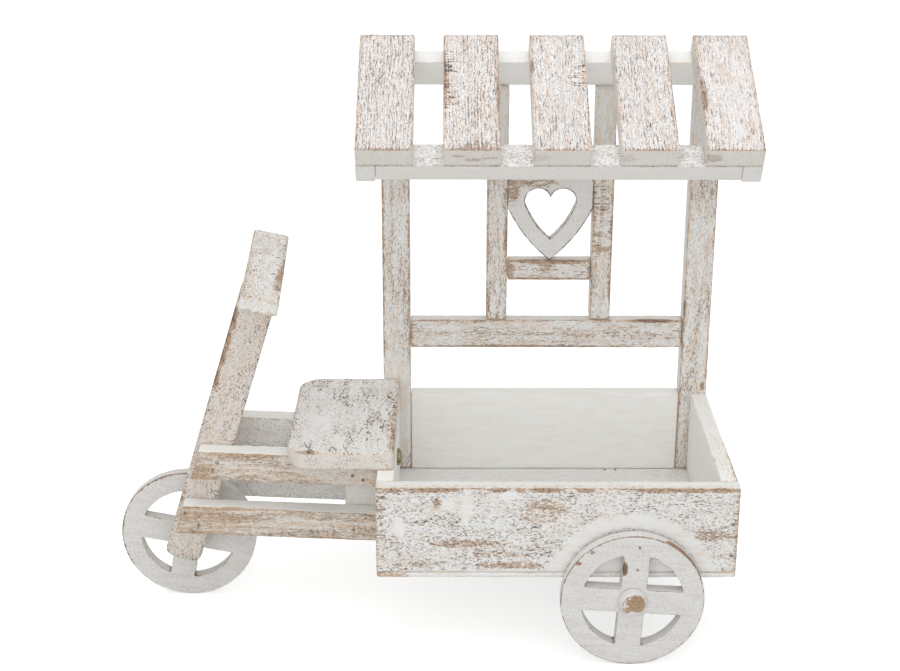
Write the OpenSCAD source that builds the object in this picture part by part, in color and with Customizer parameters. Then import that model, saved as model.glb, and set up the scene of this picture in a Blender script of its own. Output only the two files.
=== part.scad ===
// Cargo tricycle planter. A planting box rides between two rear wheels, under a slatted roof that
// two rear posts carry. In front, four rails tie the box to a leaning fork with the front wheel
// and a handlebar, and a seat board bridges the rails and the box.
// X runs from the front wheel to the box, Y from the open side to the back, and Z is up.
// The origin is on the ground, under the middle of the whole tricycle. Inside the modules,
// X is counted from the box's front-wheel end and Y from the box's open side.

/* [Planting box] */
// Length of the box
box_l = 300; // [260:1:360]
// Depth from the box's open side to the front faces of the posts
box_d = 203; // [170:1:250]
// Height of the walls above the floor board
wall_h = 77.5; // [60:0.5:110]
// Thickness of the walls
wall_t = 15; // [12:0.5:18]
// Thickness of the floor board
floor_t = 5; // [4:0.5:10]
// Height of the wheel axles below the floor board
axle_drop = 14.5; // [12:0.5:20]

/* [Posts and heart] */
// Height of the posts from the floor board to their rear top edge
post_h = 373.5; // [360:0.5:430]
// Width of each post
post_w = 25.5; // [20:0.5:30]
// Depth of the posts and of the heart's uprights
post_t = 20; // [18:0.5:26]
// Gap between the rim of the box and the cross rail above it
mid_gap = 45; // [30:1:55]
// Height of that cross rail
mid_h = 27.5; // [20:0.5:35]
// Thickness of the cross rail and of the heart's crossbar
mid_t = 13.5; // [10:0.5:17]
// Width of the heart's uprights
upright_w = 19; // [15:0.5:24]
// Gap between the heart's uprights
upright_gap = 75.5; // [75:0.5:84]
// How far the heart stands off the middle of the box
heart_shift = 1; // [-10:0.5:10]
// Gap between the cross rail and the heart's crossbar
crossbar_gap = 38; // [30:0.5:44]
// Height of the heart's crossbar
crossbar_h = 19.5; // [14:0.5:24]
// Height of the heart's lobe centres above the crossbar
heart_rise = 55; // [52:0.5:60]
// Half the distance between the centres of the heart's two lobes
lobe_half = 11.2; // [10:0.1:11.4]
// How far the heart is trimmed on each side, so that it sits flush between its uprights
heart_trim = 2.6; // [0:0.2:3]
// Width of the wood beside the heart-shaped cut-out
heart_border = 14.8; // [12:0.2:15]
// Height of the wood below the tip of the cut-out
heart_tip = 19.5; // [19:0.5:25]
// Radius of the curved sides of the heart plaque
heart_side_r = 131; // [110:1:150]
// How far the plaque's own lobes sit above those of its cut-out
heart_lift = 5.5; // [0:0.5:6]
// Radius of the curved sides of the cut-out
cutout_side_r = 80; // [70:1:110]
// Thickness of the heart plaque
heart_t = 8; // [6:0.5:12]
// How far the heart plaque sits back from the fronts of its uprights
heart_setback = 0.5; // [0:0.5:4]

/* [Roof] */
// Slope of the roof
roof_pitch = 30; // [25:1:32]
// Length of the slats along the slope
slat_l = 142; // [120:1:170]
// Width of each slat
slat_w = 47.5; // [40:0.5:52]
// Thickness of each slat
slat_t = 18.5; // [14:0.5:22]
// Width of the roof's front and back rails
roof_rail_w = 26; // [20:0.5:30]
// Thickness of the roof's front and back rails
roof_rail_t = 15.5; // [12:0.5:17]
// Thickness of the roof's side rails, which stand outside the posts
side_rail_t = 16.5; // [12:0.5:20]
// Height of the roof's side rails
side_rail_h = 17.5; // [15:0.5:22]

/* [Seat and frame rails] */
// Width of the seat board, along the tricycle
seat_w = 91; // [75:1:105]
// Length of the seat board, across the tricycle
seat_l = 169.5; // [150:0.5:190]
// Thickness of the seat board
seat_t = 15; // [12:0.5:18]
// Radius of the seat's two front corners
seat_front_r = 22; // [15:1:30]
// Radius of the seat's two rear corners
seat_rear_r = 4; // [2:0.5:8]
// Height of the frame rails
rail_w = 27; // [22:0.5:30]
// Height of the far upper frame rail
far_upper_w = 29; // [22:0.5:31]
// Thickness of the frame rails
rail_t = 17.5; // [12:0.5:20]
// Angle at which the frame rails rise towards the front wheel
rail_rise = 2.5; // [0:0.5:4]
// How far the rails' front ends stop short of the fork's front edge
rail_inset = 4; // [2:0.5:8]
// Gap between the near and the far frame rails
frame_gap = 60; // [54:1:72]
// Length of the spacer block that joins the rails to the box
spacer_l = 30; // [28:1:40]
// Height of the spacer block
spacer_h = 73; // [66:1:76]

/* [Fork and handlebar] */
// Distance from the box to the front axle
fork_reach = 172; // [162:1:190]
// Angle at which the fork leans back
fork_lean = 17.3; // [14:0.1:20]
// Width of the fork legs
leg_w = 32; // [28:0.5:36]
// Thickness of the fork legs
leg_t = 15; // [12:0.5:18]
// Length of the legs above the front axle
leg_l = 252; // [230:1:280]
// Length of the legs below the front axle
leg_foot = 12; // [11:0.5:16]
// Radius of the legs' bottom corners
leg_r = 8; // [5:0.5:10]
// Length of the handlebar
bar_l = 178; // [150:1:210]
// Width of the handlebar
bar_w = 32; // [28:0.5:38]
// Thickness of the handlebar
bar_t = 13; // [10:0.5:18]
// Radius of the handlebar's corners
bar_r = 4; // [2:0.5:8]
// Slope of the handlebar's top, along the tricycle
bar_tilt = 13; // [10:0.5:18]
// Angle by which the handlebar is turned on the fork
bar_turn = 2.5; // [0:0.5:4]

/* [Wheels and axles] */
// Radius of the three wheels
wheel_r = 60; // [56:1:64]
// Thickness of the wheels
wheel_t = 11.5; // [9:0.5:14]
// Width of the wheels' rims
rim_w = 17.5; // [14:0.5:20]
// Width of the wheels' four spokes
spoke_w = 22; // [20:0.5:26]
// Distance from the box's front-wheel end to the rear axle
rear_x = 213; // [170:1:235]
// Angle at which the front wheel stands
front_spin = 11; // [0:1:90]
// Angle at which the rear wheels stand
rear_spin = 3.5; // [0:0.5:90]
// Diameter of the axles
axle_d = 6; // [5:0.5:8]
// Running clearance between the axles and the wheels, on the radius
run_clear = 0.06; // [0.03:0.01:0.09]
// Free play on each side of a wheel
wheel_play = 0.4; // [0.3:0.1:1]
// Diameter of the rear washers and of the collars beside the front wheel
washer_d = 18; // [14:0.5:20]
// Thickness of the rear washers
washer_t = 1.8; // [1:0.1:3]
// Diameter of the rear hub caps where they meet the wheels
cap_d = 25.5; // [22:0.5:30]
// Diameter of the hub caps' flat ends
cap_end_d = 18; // [14:0.5:20]
// Thickness of the hub caps
cap_t = 8; // [6:0.5:12]
// Width of the axle blocks
block_w = 14; // [14:0.5:24]
// Height of the axle blocks
block_h = 27.5; // [26:0.5:32]
// Length of the axle blocks
block_l = 28; // [24:1:60]

/* [Fasteners] */
// Diameter of the coach bolts
bolt_d = 6; // [5:0.5:8]
// Diameter of the coach bolts' domed heads
bolt_head_d = 15; // [13:0.5:18]
// Height of the domed heads
bolt_head_t = 4.5; // [3:0.5:5]
// Height of the straight rim below the dome
bolt_rim_t = 2; // [0.5:0.5:2.5]
// Distance between the two coach bolts
bolt_gap = 40; // [20:1:42]
// Width of the nuts across their flats
nut_w = 10; // [9:0.5:13]
// Thickness of the nuts
nut_t = 5; // [4:0.5:7]
// Diameter of the washers under the nuts
bolt_washer_d = 18; // [14:0.5:20]
// Thickness of the washers under the nuts
bolt_washer_t = 1.6; // [1:0.1:2.5]
// Length of thread that shows past the nuts
bolt_tail = 2; // [1:0.5:5]
// Diameter of the nails
nail_d = 1.8; // [1.4:0.1:2.4]
// Diameter of the nail heads
nail_head_d = 3; // [2.6:0.1:4]
// Depth that a nail reaches into the second board
nail_bite = 11; // [8:0.5:11]

/* [Hidden] */
$fn = 64;

whitewash = [0.84, 0.83, 0.80];
worn_wash = [0.82, 0.74, 0.64];
steel = [0.62, 0.62, 0.60];
brass = [0.62, 0.55, 0.36];
nail_grey = [0.35, 0.32, 0.29];

// Small clearances: fixed pins in their holes, and bolts in theirs
pin_clear = 0.02;
bolt_clear = 0.1;
// Reach of the cutting bodies, and how far a cut runs past a face
reach = 900;
past = 1;
nail_head_t = 0.8;

// Heights and depths that the pieces share
axle_z = wheel_r;
box_z = axle_z + axle_drop;
floor_top = box_z + floor_t;
rim_z = floor_top + wall_h;
back_y = box_d + post_t;
mid_y = back_y / 2;

// Roof
slat_count = 5;
// Hand-laid offsets of the slats from even spacing
slat_shift = [0, 0.3, 2.4, 1.9, 0];
slat_step = (box_l + 2 * side_rail_t - slat_w) / (slat_count - 1);
post_top = floor_top + post_h;
roof_depth = slat_t + roof_rail_w;
slat_nail_in = 12;
slat_nail_y = [roof_rail_w / 2, slat_l - roof_rail_t / 2];

// Cross rail and heart
mid_z = rim_z + mid_gap;
upright_z = mid_z + mid_h;
crossbar_z = upright_z + crossbar_gap;
heart_x = box_l / 2 + heart_shift;
heart_z = crossbar_z + crossbar_h + heart_rise;
plaque_lobe_r = upright_gap / 2 - lobe_half;
cutout_lobe_r = plaque_lobe_r - heart_border;

// Front frame
seat_x0 = wall_t - seat_w;
seat_y0 = box_d - seat_l;
near_y = mid_y - frame_gap / 2;
far_y = mid_y + frame_gap / 2;
rise = tan(rail_rise);
lean = tan(fork_lean);
rail_v = rail_w / cos(rail_rise);
far_upper_v = far_upper_w / cos(rail_rise);
upper_top = rim_z + seat_x0 * rise;
lower_top = box_z + rail_v;
front_x = -fork_reach;
leg_edge0 = front_x - leg_w / 2 / cos(fork_lean) - axle_z * lean;
bar_x = front_x + leg_l * sin(fork_lean);
bar_z = axle_z + leg_l * cos(fork_lean);
spacer_z = (box_z + upper_top - spacer_h) / 2;
leg_bore = leg_t * 2 / 3;
front_axle_l = frame_gap - 2 * (leg_t - leg_bore);

// Coach bolts
bolt_mid_z = spacer_z + spacer_h / 2;
// Counterbores in the spacer block's far end, which take the washers and nuts
bolt_sink = bolt_washer_t + nut_t + bolt_tail + 0.5;
bolt_sink_d = bolt_washer_d + 1;
bolt_grip = wall_t + spacer_l - bolt_sink;
bolt_shank = bolt_grip + bolt_washer_t + nut_t + bolt_tail;
bolt_dome_h = bolt_head_t - bolt_rim_t;
bolt_dome_r = (bolt_head_d * bolt_head_d / 4 + bolt_dome_h * bolt_dome_h) / 2 / bolt_dome_h;

// Wheels
rim_in = wheel_r - rim_w;
rear_off = washer_t + wheel_play;
cap_off = rear_off + wheel_t + wheel_play;
cap_bore = cap_t * 3 / 4;

// Middle of the whole tricycle
whole_x = (front_x - wheel_r + box_l + side_rail_t) / 2;

// Nail places in the frame rails: [along the rail from the leg's middle, up from the rail's middle]
upper_leg_nails = [[7.5, 3.5], [4, -3.5]];
lower_leg_nails = [[-6, 7], [5, -5]];
// The same at the spacer block: [from the box, up from the rail's middle]
spacer_nails = [[-22, -3.5], [-13, -7]];
box_nail_in = 5;
// Distance of the axle blocks' nails from the axle's middle, and from the blocks' inner ends
block_nail_off = 5;
block_nail_in = 6;

// Lengths of the nails
front_nail_l = max(wall_t, post_t) + nail_bite;
floor_nail_l = floor_t + nail_bite;
roof_nail_l = slat_t + nail_bite;
side_nail_l = side_rail_t + nail_bite;
frame_nail_l = rail_t + nail_bite;
seat_nail_l = seat_t + nail_bite;
bar_nail_l = bar_t + nail_bite;

// Puts a piece in the tricycle's own frame
module whole() {
    translate([-whole_x, -mid_y, 0]) children();
}

// Gives an outline drawn in X and Z its thickness, from y towards the back
module upright_board(y, t) {
    translate([0, y + t, 0]) rotate([90, 0, 0]) linear_extrude(t) children();
}

// A rectangle whose low-X corners have radius r0 and whose high-X corners have radius r1
module rounded_outline(w, l, r0, r1) {
    translate([r0, 0]) square([w - r0 - r1, l]);
    translate([0, r0]) square([r0, l - 2 * r0]);
    translate([w - r1, r1]) square([r1, l - 2 * r1]);
    for (y = [r0, l - r0]) translate([r0, y]) circle(r0);
    for (y = [r1, l - r1]) translate([w - r1, y]) circle(r1);
}

// A flat-headed nail of length l, driven down from z = 0 with its head flush
module nail(l) {
    translate([0, 0, -nail_head_t]) cylinder(d = nail_head_d, h = nail_head_t, $fn = 24);
    translate([0, 0, -l]) cylinder(d = nail_d, h = l - nail_head_t, $fn = 24);
}

// The hole that such a nail leaves in the boards
module nail_hole(l) {
    translate([0, 0, -nail_head_t - pin_clear])
        cylinder(d = nail_head_d + 2 * pin_clear, h = nail_head_t + past, $fn = 24);
    translate([0, 0, -l - pin_clear]) cylinder(d = nail_d + 2 * pin_clear, h = l, $fn = 24);
}

// Box

// Nail places along the box's end walls: through the front wall and through the posts
module at_wall_nails() {
    for (x = [box_nail_in, box_l - box_nail_in], z = [wall_h / 5, wall_h * 4 / 7]) {
        translate([x, 0, floor_top + z]) rotate([90, 0, 0]) children();
        translate([x, back_y, floor_top + z]) rotate([-90, 0, 0]) children();
    }
}

// Nail places under the floor board, into the front wall and the end walls
module at_floor_nails() {
    for (x = [box_l / 4, box_l / 2, box_l * 3 / 4])
        translate([x, wall_t / 2, box_z]) rotate([180, 0, 0]) children();
    for (x = [wall_t / 2, box_l - wall_t / 2], y = [box_d / 3, box_d * 2 / 3])
        translate([x, y, box_z]) rotate([180, 0, 0]) children();
}

// Nail places inside the box, down into the axle blocks beside the axle
module at_block_nails() {
    near_nail = block_l - block_nail_in;
    for (x = [-block_nail_off, block_nail_off], y = [near_nail, back_y - near_nail])
        translate([rear_x + x, y, floor_top]) children();
}

module box_floor() {
    color(whitewash) difference() {
        translate([0, 0, box_z]) cube([box_l, back_y, floor_t]);
        at_floor_nails() nail_hole(floor_nail_l);
        at_block_nails() nail_hole(floor_nail_l);
    }
}

module box_front_wall() {
    color(whitewash) difference() {
        translate([0, 0, floor_top]) cube([box_l, wall_t, wall_h]);
        at_wall_nails() nail_hole(front_nail_l);
        at_floor_nails() nail_hole(floor_nail_l);
    }
}

module box_back_wall() {
    color(whitewash)
        translate([post_w, box_d, floor_top]) cube([box_l - 2 * post_w, wall_t, wall_h]);
}

module end_wall(x) {
    color(whitewash) difference() {
        translate([x, wall_t, floor_top]) cube([wall_t, box_d - wall_t, wall_h]);
        at_wall_nails() nail_hole(front_nail_l);
        at_floor_nails() nail_hole(floor_nail_l);
        at_bolts() bolt_hole();
        at_seat_nails() nail_hole(seat_nail_l);
    }
}

module box_nails() {
    color(nail_grey) {
        at_wall_nails() nail(front_nail_l);
        at_floor_nails() nail(floor_nail_l);
        at_block_nails() nail(floor_nail_l);
    }
}

// Posts, cross rail and heart

// The roof's frame of axes: Y along its slope from the front edge, Z square to it, top at 0
module on_roof() {
    translate([0, back_y, post_top]) rotate([roof_pitch, 0, 0])
        translate([0, -slat_l, roof_depth]) children();
}

// A vertical stick of width w at x, from z up to the underside of the roof's back rail
module roof_stick(x, w, z) {
    difference() {
        translate([x, box_d, z]) cube([w, post_t, post_top - z + past]);
        on_roof() translate([-reach / 2, -reach / 2, -roof_depth]) cube(reach);
    }
}

module post(x) {
    color(whitewash) difference() {
        roof_stick(x, post_w, floor_top);
        at_wall_nails() nail_hole(front_nail_l);
    }
}

module cross_rail() {
    color(whitewash)
        translate([post_w, box_d, mid_z]) cube([box_l - 2 * post_w, mid_t, mid_h]);
}

// An upright that starts off from the heart's middle
module heart_upright(off) {
    color(whitewash) roof_stick(heart_x + off, upright_w, upright_z);
}

module heart_crossbar() {
    color(whitewash)
        translate([heart_x - upright_gap / 2, box_d, crossbar_z]) cube([upright_gap, mid_t, crossbar_h]);
}

// Angle at which a heart's side curve of radius s meets its lobe of radius r, where the lobes'
// centres lie c to each side and the tip is h below them
function heart_turn(c, r, s, h) =
    let (d = s - r, t = norm([c, h])) acos((t * t + d * d - s * s) / (2 * d * t)) - atan2(h, c);

// Left half of a heart's outline, from the cleft over the lobe and down to the tip
function half_heart(c, r, s, h) =
    let (turn = heart_turn(c, r, s, h),
         cx = -c + (s - r) * cos(turn), cy = (s - r) * sin(turn),
         a0 = acos(c / r), a1 = 180 + turn, a2 = 180 + atan2(h + cy, cx),
         lobe_steps = 24, side_steps = 10)
    concat(
        [for (i = [0:lobe_steps]) let (a = a0 + (a1 - a0) * i / lobe_steps)
            [i == 0 ? 0 : -c + r * cos(a), r * sin(a)]],
        [for (i = [1:side_steps]) let (a = a1 + (a2 - a1) * i / side_steps)
            [i == side_steps ? 0 : cx + s * cos(a), cy + s * sin(a)]]);

// A whole heart, its lobes' centres on y = 0
module heart(c, r, s, h) {
    half = half_heart(c, r, s, h);
    polygon(concat(half, [for (i = [len(half) - 2:-1:1]) [-half[i][0], half[i][1]]]));
}

module heart_plaque() {
    color(whitewash) upright_board(box_d + heart_setback, heart_t) translate([heart_x, heart_z])
        difference() {
            intersection() {
                translate([0, heart_lift])
                    heart(lobe_half, plaque_lobe_r + heart_trim, heart_side_r, heart_rise + heart_lift);
                square([upright_gap, 4 * heart_rise], center = true);
            }
            heart(lobe_half, cutout_lobe_r, cutout_side_r, heart_rise - heart_tip);
        }
}

// Roof

function slat_x(i) = -side_rail_t + i * slat_step + slat_shift[i];

// Nail places of slat i: one near each edge, over the front rail and over the back rail
module at_slat_nails(i) {
    x0 = slat_x(i);
    on_roof()
        for (x = [x0 + slat_nail_in, x0 + slat_w - slat_nail_in], y = slat_nail_y)
            if (x > nail_d && x < box_l - nail_d) translate([x, y, 0]) children();
}

// Nail places through the side rails into the ends of the front and back rails
module at_side_rail_nails() {
    on_roof() for (y = slat_nail_y)
        translate([0, y, -slat_t - roof_rail_t / 2]) {
            translate([-side_rail_t, 0, 0]) rotate([0, -90, 0]) children();
            translate([box_l + side_rail_t, 0, 0]) rotate([0, 90, 0]) children();
        }
}

module roof_slat(i) {
    color(whitewash) difference() {
        on_roof() translate([slat_x(i), 0, -slat_t]) cube([slat_w, slat_l, slat_t]);
        at_slat_nails(i) nail_hole(roof_nail_l);
    }
}

// A roof rail with the holes of all the nails that end in it
module nailed_roof_rail() {
    color(whitewash) difference() {
        on_roof() children();
        for (i = [0:slat_count - 1]) at_slat_nails(i) nail_hole(roof_nail_l);
        at_side_rail_nails() nail_hole(side_nail_l);
    }
}

module roof_front_rail() {
    nailed_roof_rail() translate([0, 0, -slat_t - roof_rail_t]) cube([box_l, roof_rail_w, roof_rail_t]);
}

module roof_back_rail() {
    nailed_roof_rail()
        translate([0, slat_l - roof_rail_t, -roof_depth]) cube([box_l, roof_rail_t, roof_rail_w]);
}

module roof_side_rail(x) {
    color(whitewash) difference() {
        on_roof() translate([x, 0, -slat_t - side_rail_h]) cube([side_rail_t, slat_l, side_rail_h]);
        at_side_rail_nails() nail_hole(side_nail_l);
    }
}

module roof_nails() {
    color(nail_grey) {
        for (i = [0:slat_count - 1]) at_slat_nails(i) nail(roof_nail_l);
        at_side_rail_nails() nail(side_nail_l);
    }
}

// Seat and frame rails

module at_seat_nails() {
    for (y = [seat_y0 + seat_l / 4, seat_y0 + seat_l * 3 / 4])
        translate([wall_t / 2, y, rim_z + seat_t]) children();
    for (y = [near_y - rail_t / 2, far_y + rail_t / 2])
        translate([seat_x0 + seat_w / 4, y, rim_z + seat_t]) children();
}

module seat_board() {
    color(whitewash) difference() {
        translate([seat_x0, seat_y0, rim_z]) linear_extrude(seat_t)
            rounded_outline(seat_w, seat_l, seat_front_r, seat_rear_r);
        at_seat_nails() nail_hole(seat_nail_l);
    }
}

module seat_nails() {
    color(nail_grey) at_seat_nails() nail(seat_nail_l);
}

// Where an edge that is z high at the box meets the front end of a frame rail
function rail_end(z) =
    let (x = (leg_edge0 + rail_inset + z * lean) / (1 + lean * rise)) [x, z - x * rise];

// Middle of the joint between the leg and a rail whose top edge is z high at the box
function rail_joint(z) =
    let (c = z - rail_v / 2, x = (front_x + (c - axle_z) * lean) / (1 + lean * rise)) [x, c - x * rise];

module rail_outline(z, v) {
    polygon([[0, z], [0, z - v], rail_end(z - v), rail_end(z)]);
}

// Nail places of a pair of rails whose top edges are z high at the box, from both outer faces
module at_rail_nails(z, leg_nails) {
    joint = rail_joint(z);
    places = concat(
        [for (n = leg_nails) joint + n],
        [for (n = spacer_nails) [n[0], z - rail_v / 2 - n[0] * rise + n[1]]]);
    for (p = places) {
        translate([p[0], near_y - rail_t, p[1]]) rotate([90, 0, 0]) children();
        translate([p[0], far_y + rail_t, p[1]]) rotate([-90, 0, 0]) children();
    }
}

module at_frame_nails() {
    at_rail_nails(upper_top, upper_leg_nails) children();
    at_rail_nails(lower_top, lower_leg_nails) children();
}

module frame_rail(y, z, v, tint) {
    color(tint) difference() {
        upright_board(y, rail_t) rail_outline(z, v);
        at_frame_nails() nail_hole(frame_nail_l);
        at_seat_nails() nail_hole(seat_nail_l);
    }
}

module near_rail(z) {
    frame_rail(near_y - rail_t, z, rail_v, worn_wash);
}

module far_rail(z, v) {
    frame_rail(far_y, z, v, whitewash);
}

module at_bolts() {
    for (side = [-1, 1])
        translate([wall_t, mid_y, bolt_mid_z + side * bolt_gap / 2]) rotate([0, 90, 0]) children();
}

// The hole of a coach bolt through the wall and the spacer block, counterbored at its far end
module bolt_hole() {
    depth = wall_t + spacer_l + 2 * past;
    translate([0, 0, past - depth]) cylinder(d = bolt_d + 2 * bolt_clear, h = depth);
    translate([0, 0, past - depth]) cylinder(d = bolt_sink_d, h = bolt_sink + past);
}

module spacer_block() {
    color(whitewash) difference() {
        translate([-spacer_l, near_y, spacer_z]) cube([spacer_l, frame_gap, spacer_h]);
        at_frame_nails() nail_hole(frame_nail_l);
        at_bolts() bolt_hole();
    }
}

module frame_nails() {
    color(nail_grey) at_frame_nails() nail(frame_nail_l);
}

// Domed heads lie inside the box, and the shanks run through the wall and the spacer block
module coach_bolts() {
    color(brass) at_bolts() {
        translate([0, 0, -bolt_shank]) cylinder(d = bolt_d, h = bolt_shank);
        intersection() {
            translate([0, 0, bolt_head_t - bolt_dome_r]) sphere(bolt_dome_r);
            cylinder(d = bolt_head_d, h = bolt_head_t);
        }
    }
}

module bolt_washers() {
    color(steel) at_bolts() translate([0, 0, -bolt_grip - bolt_washer_t]) difference() {
        cylinder(d = bolt_washer_d, h = bolt_washer_t);
        cylinder(d = bolt_d + 2 * pin_clear, h = reach, center = true);
    }
}

module bolt_nuts() {
    color(steel) at_bolts() translate([0, 0, -bolt_grip - bolt_washer_t - nut_t]) difference() {
        cylinder(d = nut_w / cos(30), h = nut_t, $fn = 6);
        cylinder(d = bolt_d + 2 * pin_clear, h = reach, center = true);
    }
}

// Fork and handlebar

// The underside of the handlebar, at the middle of the fork: X along its width, Z square to it
module on_bar() {
    translate([bar_x, mid_y, bar_z]) rotate([0, bar_tilt, 0]) children();
}

module at_bar_nails() {
    on_bar() for (x = [-bar_w / 4, bar_w / 4], side = [-1, 1])
        translate([x, side * (frame_gap - leg_t) / 2, bar_t]) children();
}

module leg_outline() {
    difference() {
        translate([front_x, axle_z]) rotate(-fork_lean) translate([-leg_w / 2, -leg_foot]) {
            translate([0, leg_r]) square([leg_w, leg_l + leg_w]);
            translate([leg_r, 0]) square([leg_w - 2 * leg_r, leg_r]);
            for (x = [leg_r, leg_w - leg_r]) translate([x, leg_r]) circle(leg_r);
        }
        translate([bar_x, bar_z]) rotate(-bar_tilt) translate([-reach / 2, 0]) square(reach);
    }
}

module fork_leg(y) {
    color(whitewash) difference() {
        upright_board(y, leg_t) leg_outline();
        translate([front_x, mid_y, axle_z]) rotate([90, 0, 0])
            cylinder(d = axle_d + 2 * pin_clear, h = front_axle_l, center = true);
        at_frame_nails() nail_hole(frame_nail_l);
        at_bar_nails() nail_hole(bar_nail_l);
    }
}

module handlebar() {
    color(whitewash) difference() {
        on_bar() rotate([0, 0, bar_turn]) translate([-bar_w / 2, -bar_l / 2, 0]) linear_extrude(bar_t)
            rounded_outline(bar_w, bar_l, bar_r, bar_r);
        at_bar_nails() nail_hole(bar_nail_l);
    }
}

module handlebar_nails() {
    color(nail_grey) at_bar_nails() nail(bar_nail_l);
}

// Wheels and axles

// A disc wheel with four spokes, its middle at the origin and its axle along Y
module wheel(x, y, spin) {
    color(whitewash) translate([x, y, axle_z]) rotate([0, spin, 0]) rotate([90, 0, 0])
        linear_extrude(wheel_t, center = true) difference() {
            circle(wheel_r, $fn = 128);
            difference() {
                circle(rim_in, $fn = 96);
                square([spoke_w, 2 * wheel_r], center = true);
                square([2 * wheel_r, spoke_w], center = true);
            }
            circle(d = axle_d + 2 * run_clear);
        }
}

// A round piece along Y at x, from y0 to y1, with an axle's hole through it
module on_axle(x, y0, y1, d) {
    translate([x, y1, axle_z]) rotate([90, 0, 0]) difference() {
        cylinder(d = d, h = y1 - y0);
        translate([0, 0, -past]) cylinder(d = axle_d + 2 * pin_clear, h = y1 - y0 + 2 * past);
    }
}

module front_axle() {
    color(steel) translate([front_x, mid_y, axle_z]) rotate([90, 0, 0])
        cylinder(d = axle_d, h = front_axle_l - 2 * pin_clear, center = true);
}

module front_collars() {
    inner = frame_gap / 2 - leg_t;
    outer = wheel_t / 2 + wheel_play;
    color(steel) {
        on_axle(front_x, mid_y - inner, mid_y - outer, washer_d);
        on_axle(front_x, mid_y + outer, mid_y + inner, washer_d);
    }
}

module front_wheel() {
    wheel(front_x, mid_y, front_spin);
}

module rear_wheel(y) {
    wheel(rear_x, y, rear_spin);
}

module axle_block(y) {
    color(whitewash) difference() {
        translate([rear_x - block_w / 2, y, box_z - block_h]) cube([block_w, block_l, block_h]);
        translate([rear_x, 0, axle_z]) rotate([90, 0, 0])
            cylinder(d = axle_d + 2 * pin_clear, h = reach, center = true);
        at_block_nails() nail_hole(floor_nail_l);
    }
}

module rear_axle() {
    overall = back_y + 2 * (cap_off + cap_bore - pin_clear);
    color(steel) translate([rear_x, mid_y, axle_z]) rotate([90, 0, 0])
        cylinder(d = axle_d, h = overall, center = true);
}

module rear_washers() {
    color(steel) {
        on_axle(rear_x, -washer_t, 0, washer_d);
        on_axle(rear_x, back_y, back_y + washer_t, washer_d);
    }
}

// A tapered cap whose wide face lies at y and whose flat end points along turn
module hub_cap(y, turn) {
    color(whitewash) translate([rear_x, y, axle_z]) rotate([turn, 0, 0]) difference() {
        cylinder(d1 = cap_d, d2 = cap_end_d, h = cap_t);
        translate([0, 0, -past]) cylinder(d = axle_d + 2 * pin_clear, h = cap_bore + past);
    }
}

whole() box_floor();
whole() box_front_wall();
whole() box_back_wall();
whole() end_wall(0);  // box_left_wall
whole() end_wall(box_l - wall_t);  // box_right_wall
whole() post(0);  // left_post
whole() post(box_l - post_w);  // right_post
whole() cross_rail();
whole() heart_upright(-upright_gap / 2 - upright_w);  // heart_left_upright
whole() heart_upright(upright_gap / 2);  // heart_right_upright
whole() heart_crossbar();
whole() heart_plaque();
whole() roof_back_rail();
whole() roof_front_rail();
whole() roof_side_rail(-side_rail_t);  // roof_left_side_rail
whole() roof_side_rail(box_l);  // roof_right_side_rail
whole() roof_slat(0);  // roof_slat_1
whole() roof_slat(1);  // roof_slat_2
whole() roof_slat(2);  // roof_slat_3
whole() roof_slat(3);  // roof_slat_4
whole() roof_slat(4);  // roof_slat_5
whole() seat_board();
whole() near_rail(upper_top);  // near_upper_rail
whole() near_rail(lower_top);  // near_lower_rail
whole() far_rail(upper_top, far_upper_v);  // far_upper_rail
whole() far_rail(lower_top, rail_v);  // far_lower_rail
whole() spacer_block();
whole() fork_leg(near_y);  // near_fork_leg
whole() fork_leg(far_y - leg_t);  // far_fork_leg
whole() handlebar();
whole() front_axle();
whole() front_collars();
whole() front_wheel();
whole() axle_block(0);  // near_axle_block
whole() axle_block(back_y - block_l);  // far_axle_block
whole() rear_axle();
whole() rear_washers();
whole() rear_wheel(-rear_off - wheel_t / 2);  // near_rear_wheel
whole() rear_wheel(back_y + rear_off + wheel_t / 2);  // far_rear_wheel
whole() hub_cap(-cap_off, 90);  // near_hub_cap
whole() hub_cap(back_y + cap_off, -90);  // far_hub_cap
whole() coach_bolts();
whole() bolt_washers();
whole() bolt_nuts();
whole() box_nails();
whole() frame_nails();
whole() roof_nails();
whole() seat_nails();
whole() handlebar_nails();
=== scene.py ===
"""Looks of a cargo tricycle planter: whitewashed pine boards, worn at their arrises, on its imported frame."""

import logging
import math
from collections.abc import Callable
from dataclasses import dataclass, field, replace
from enum import Enum

import bmesh
import bpy
import numpy as np
from mathutils import Matrix, Vector


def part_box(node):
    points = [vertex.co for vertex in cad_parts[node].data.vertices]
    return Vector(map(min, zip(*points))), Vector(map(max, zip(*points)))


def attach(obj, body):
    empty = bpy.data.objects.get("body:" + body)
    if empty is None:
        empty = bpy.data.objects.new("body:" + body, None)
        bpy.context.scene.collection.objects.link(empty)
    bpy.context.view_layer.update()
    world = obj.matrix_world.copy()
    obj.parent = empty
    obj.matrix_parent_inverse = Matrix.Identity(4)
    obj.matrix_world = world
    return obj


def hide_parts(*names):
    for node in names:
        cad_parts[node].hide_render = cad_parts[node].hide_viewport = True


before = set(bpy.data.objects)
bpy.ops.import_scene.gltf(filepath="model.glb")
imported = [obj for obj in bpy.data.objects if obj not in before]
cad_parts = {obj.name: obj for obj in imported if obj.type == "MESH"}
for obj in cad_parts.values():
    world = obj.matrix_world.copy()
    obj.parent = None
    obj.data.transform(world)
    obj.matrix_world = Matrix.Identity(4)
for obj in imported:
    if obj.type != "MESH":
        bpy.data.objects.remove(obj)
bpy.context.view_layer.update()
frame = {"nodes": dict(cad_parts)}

log = logging.getLogger("tricycle_planter")

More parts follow.
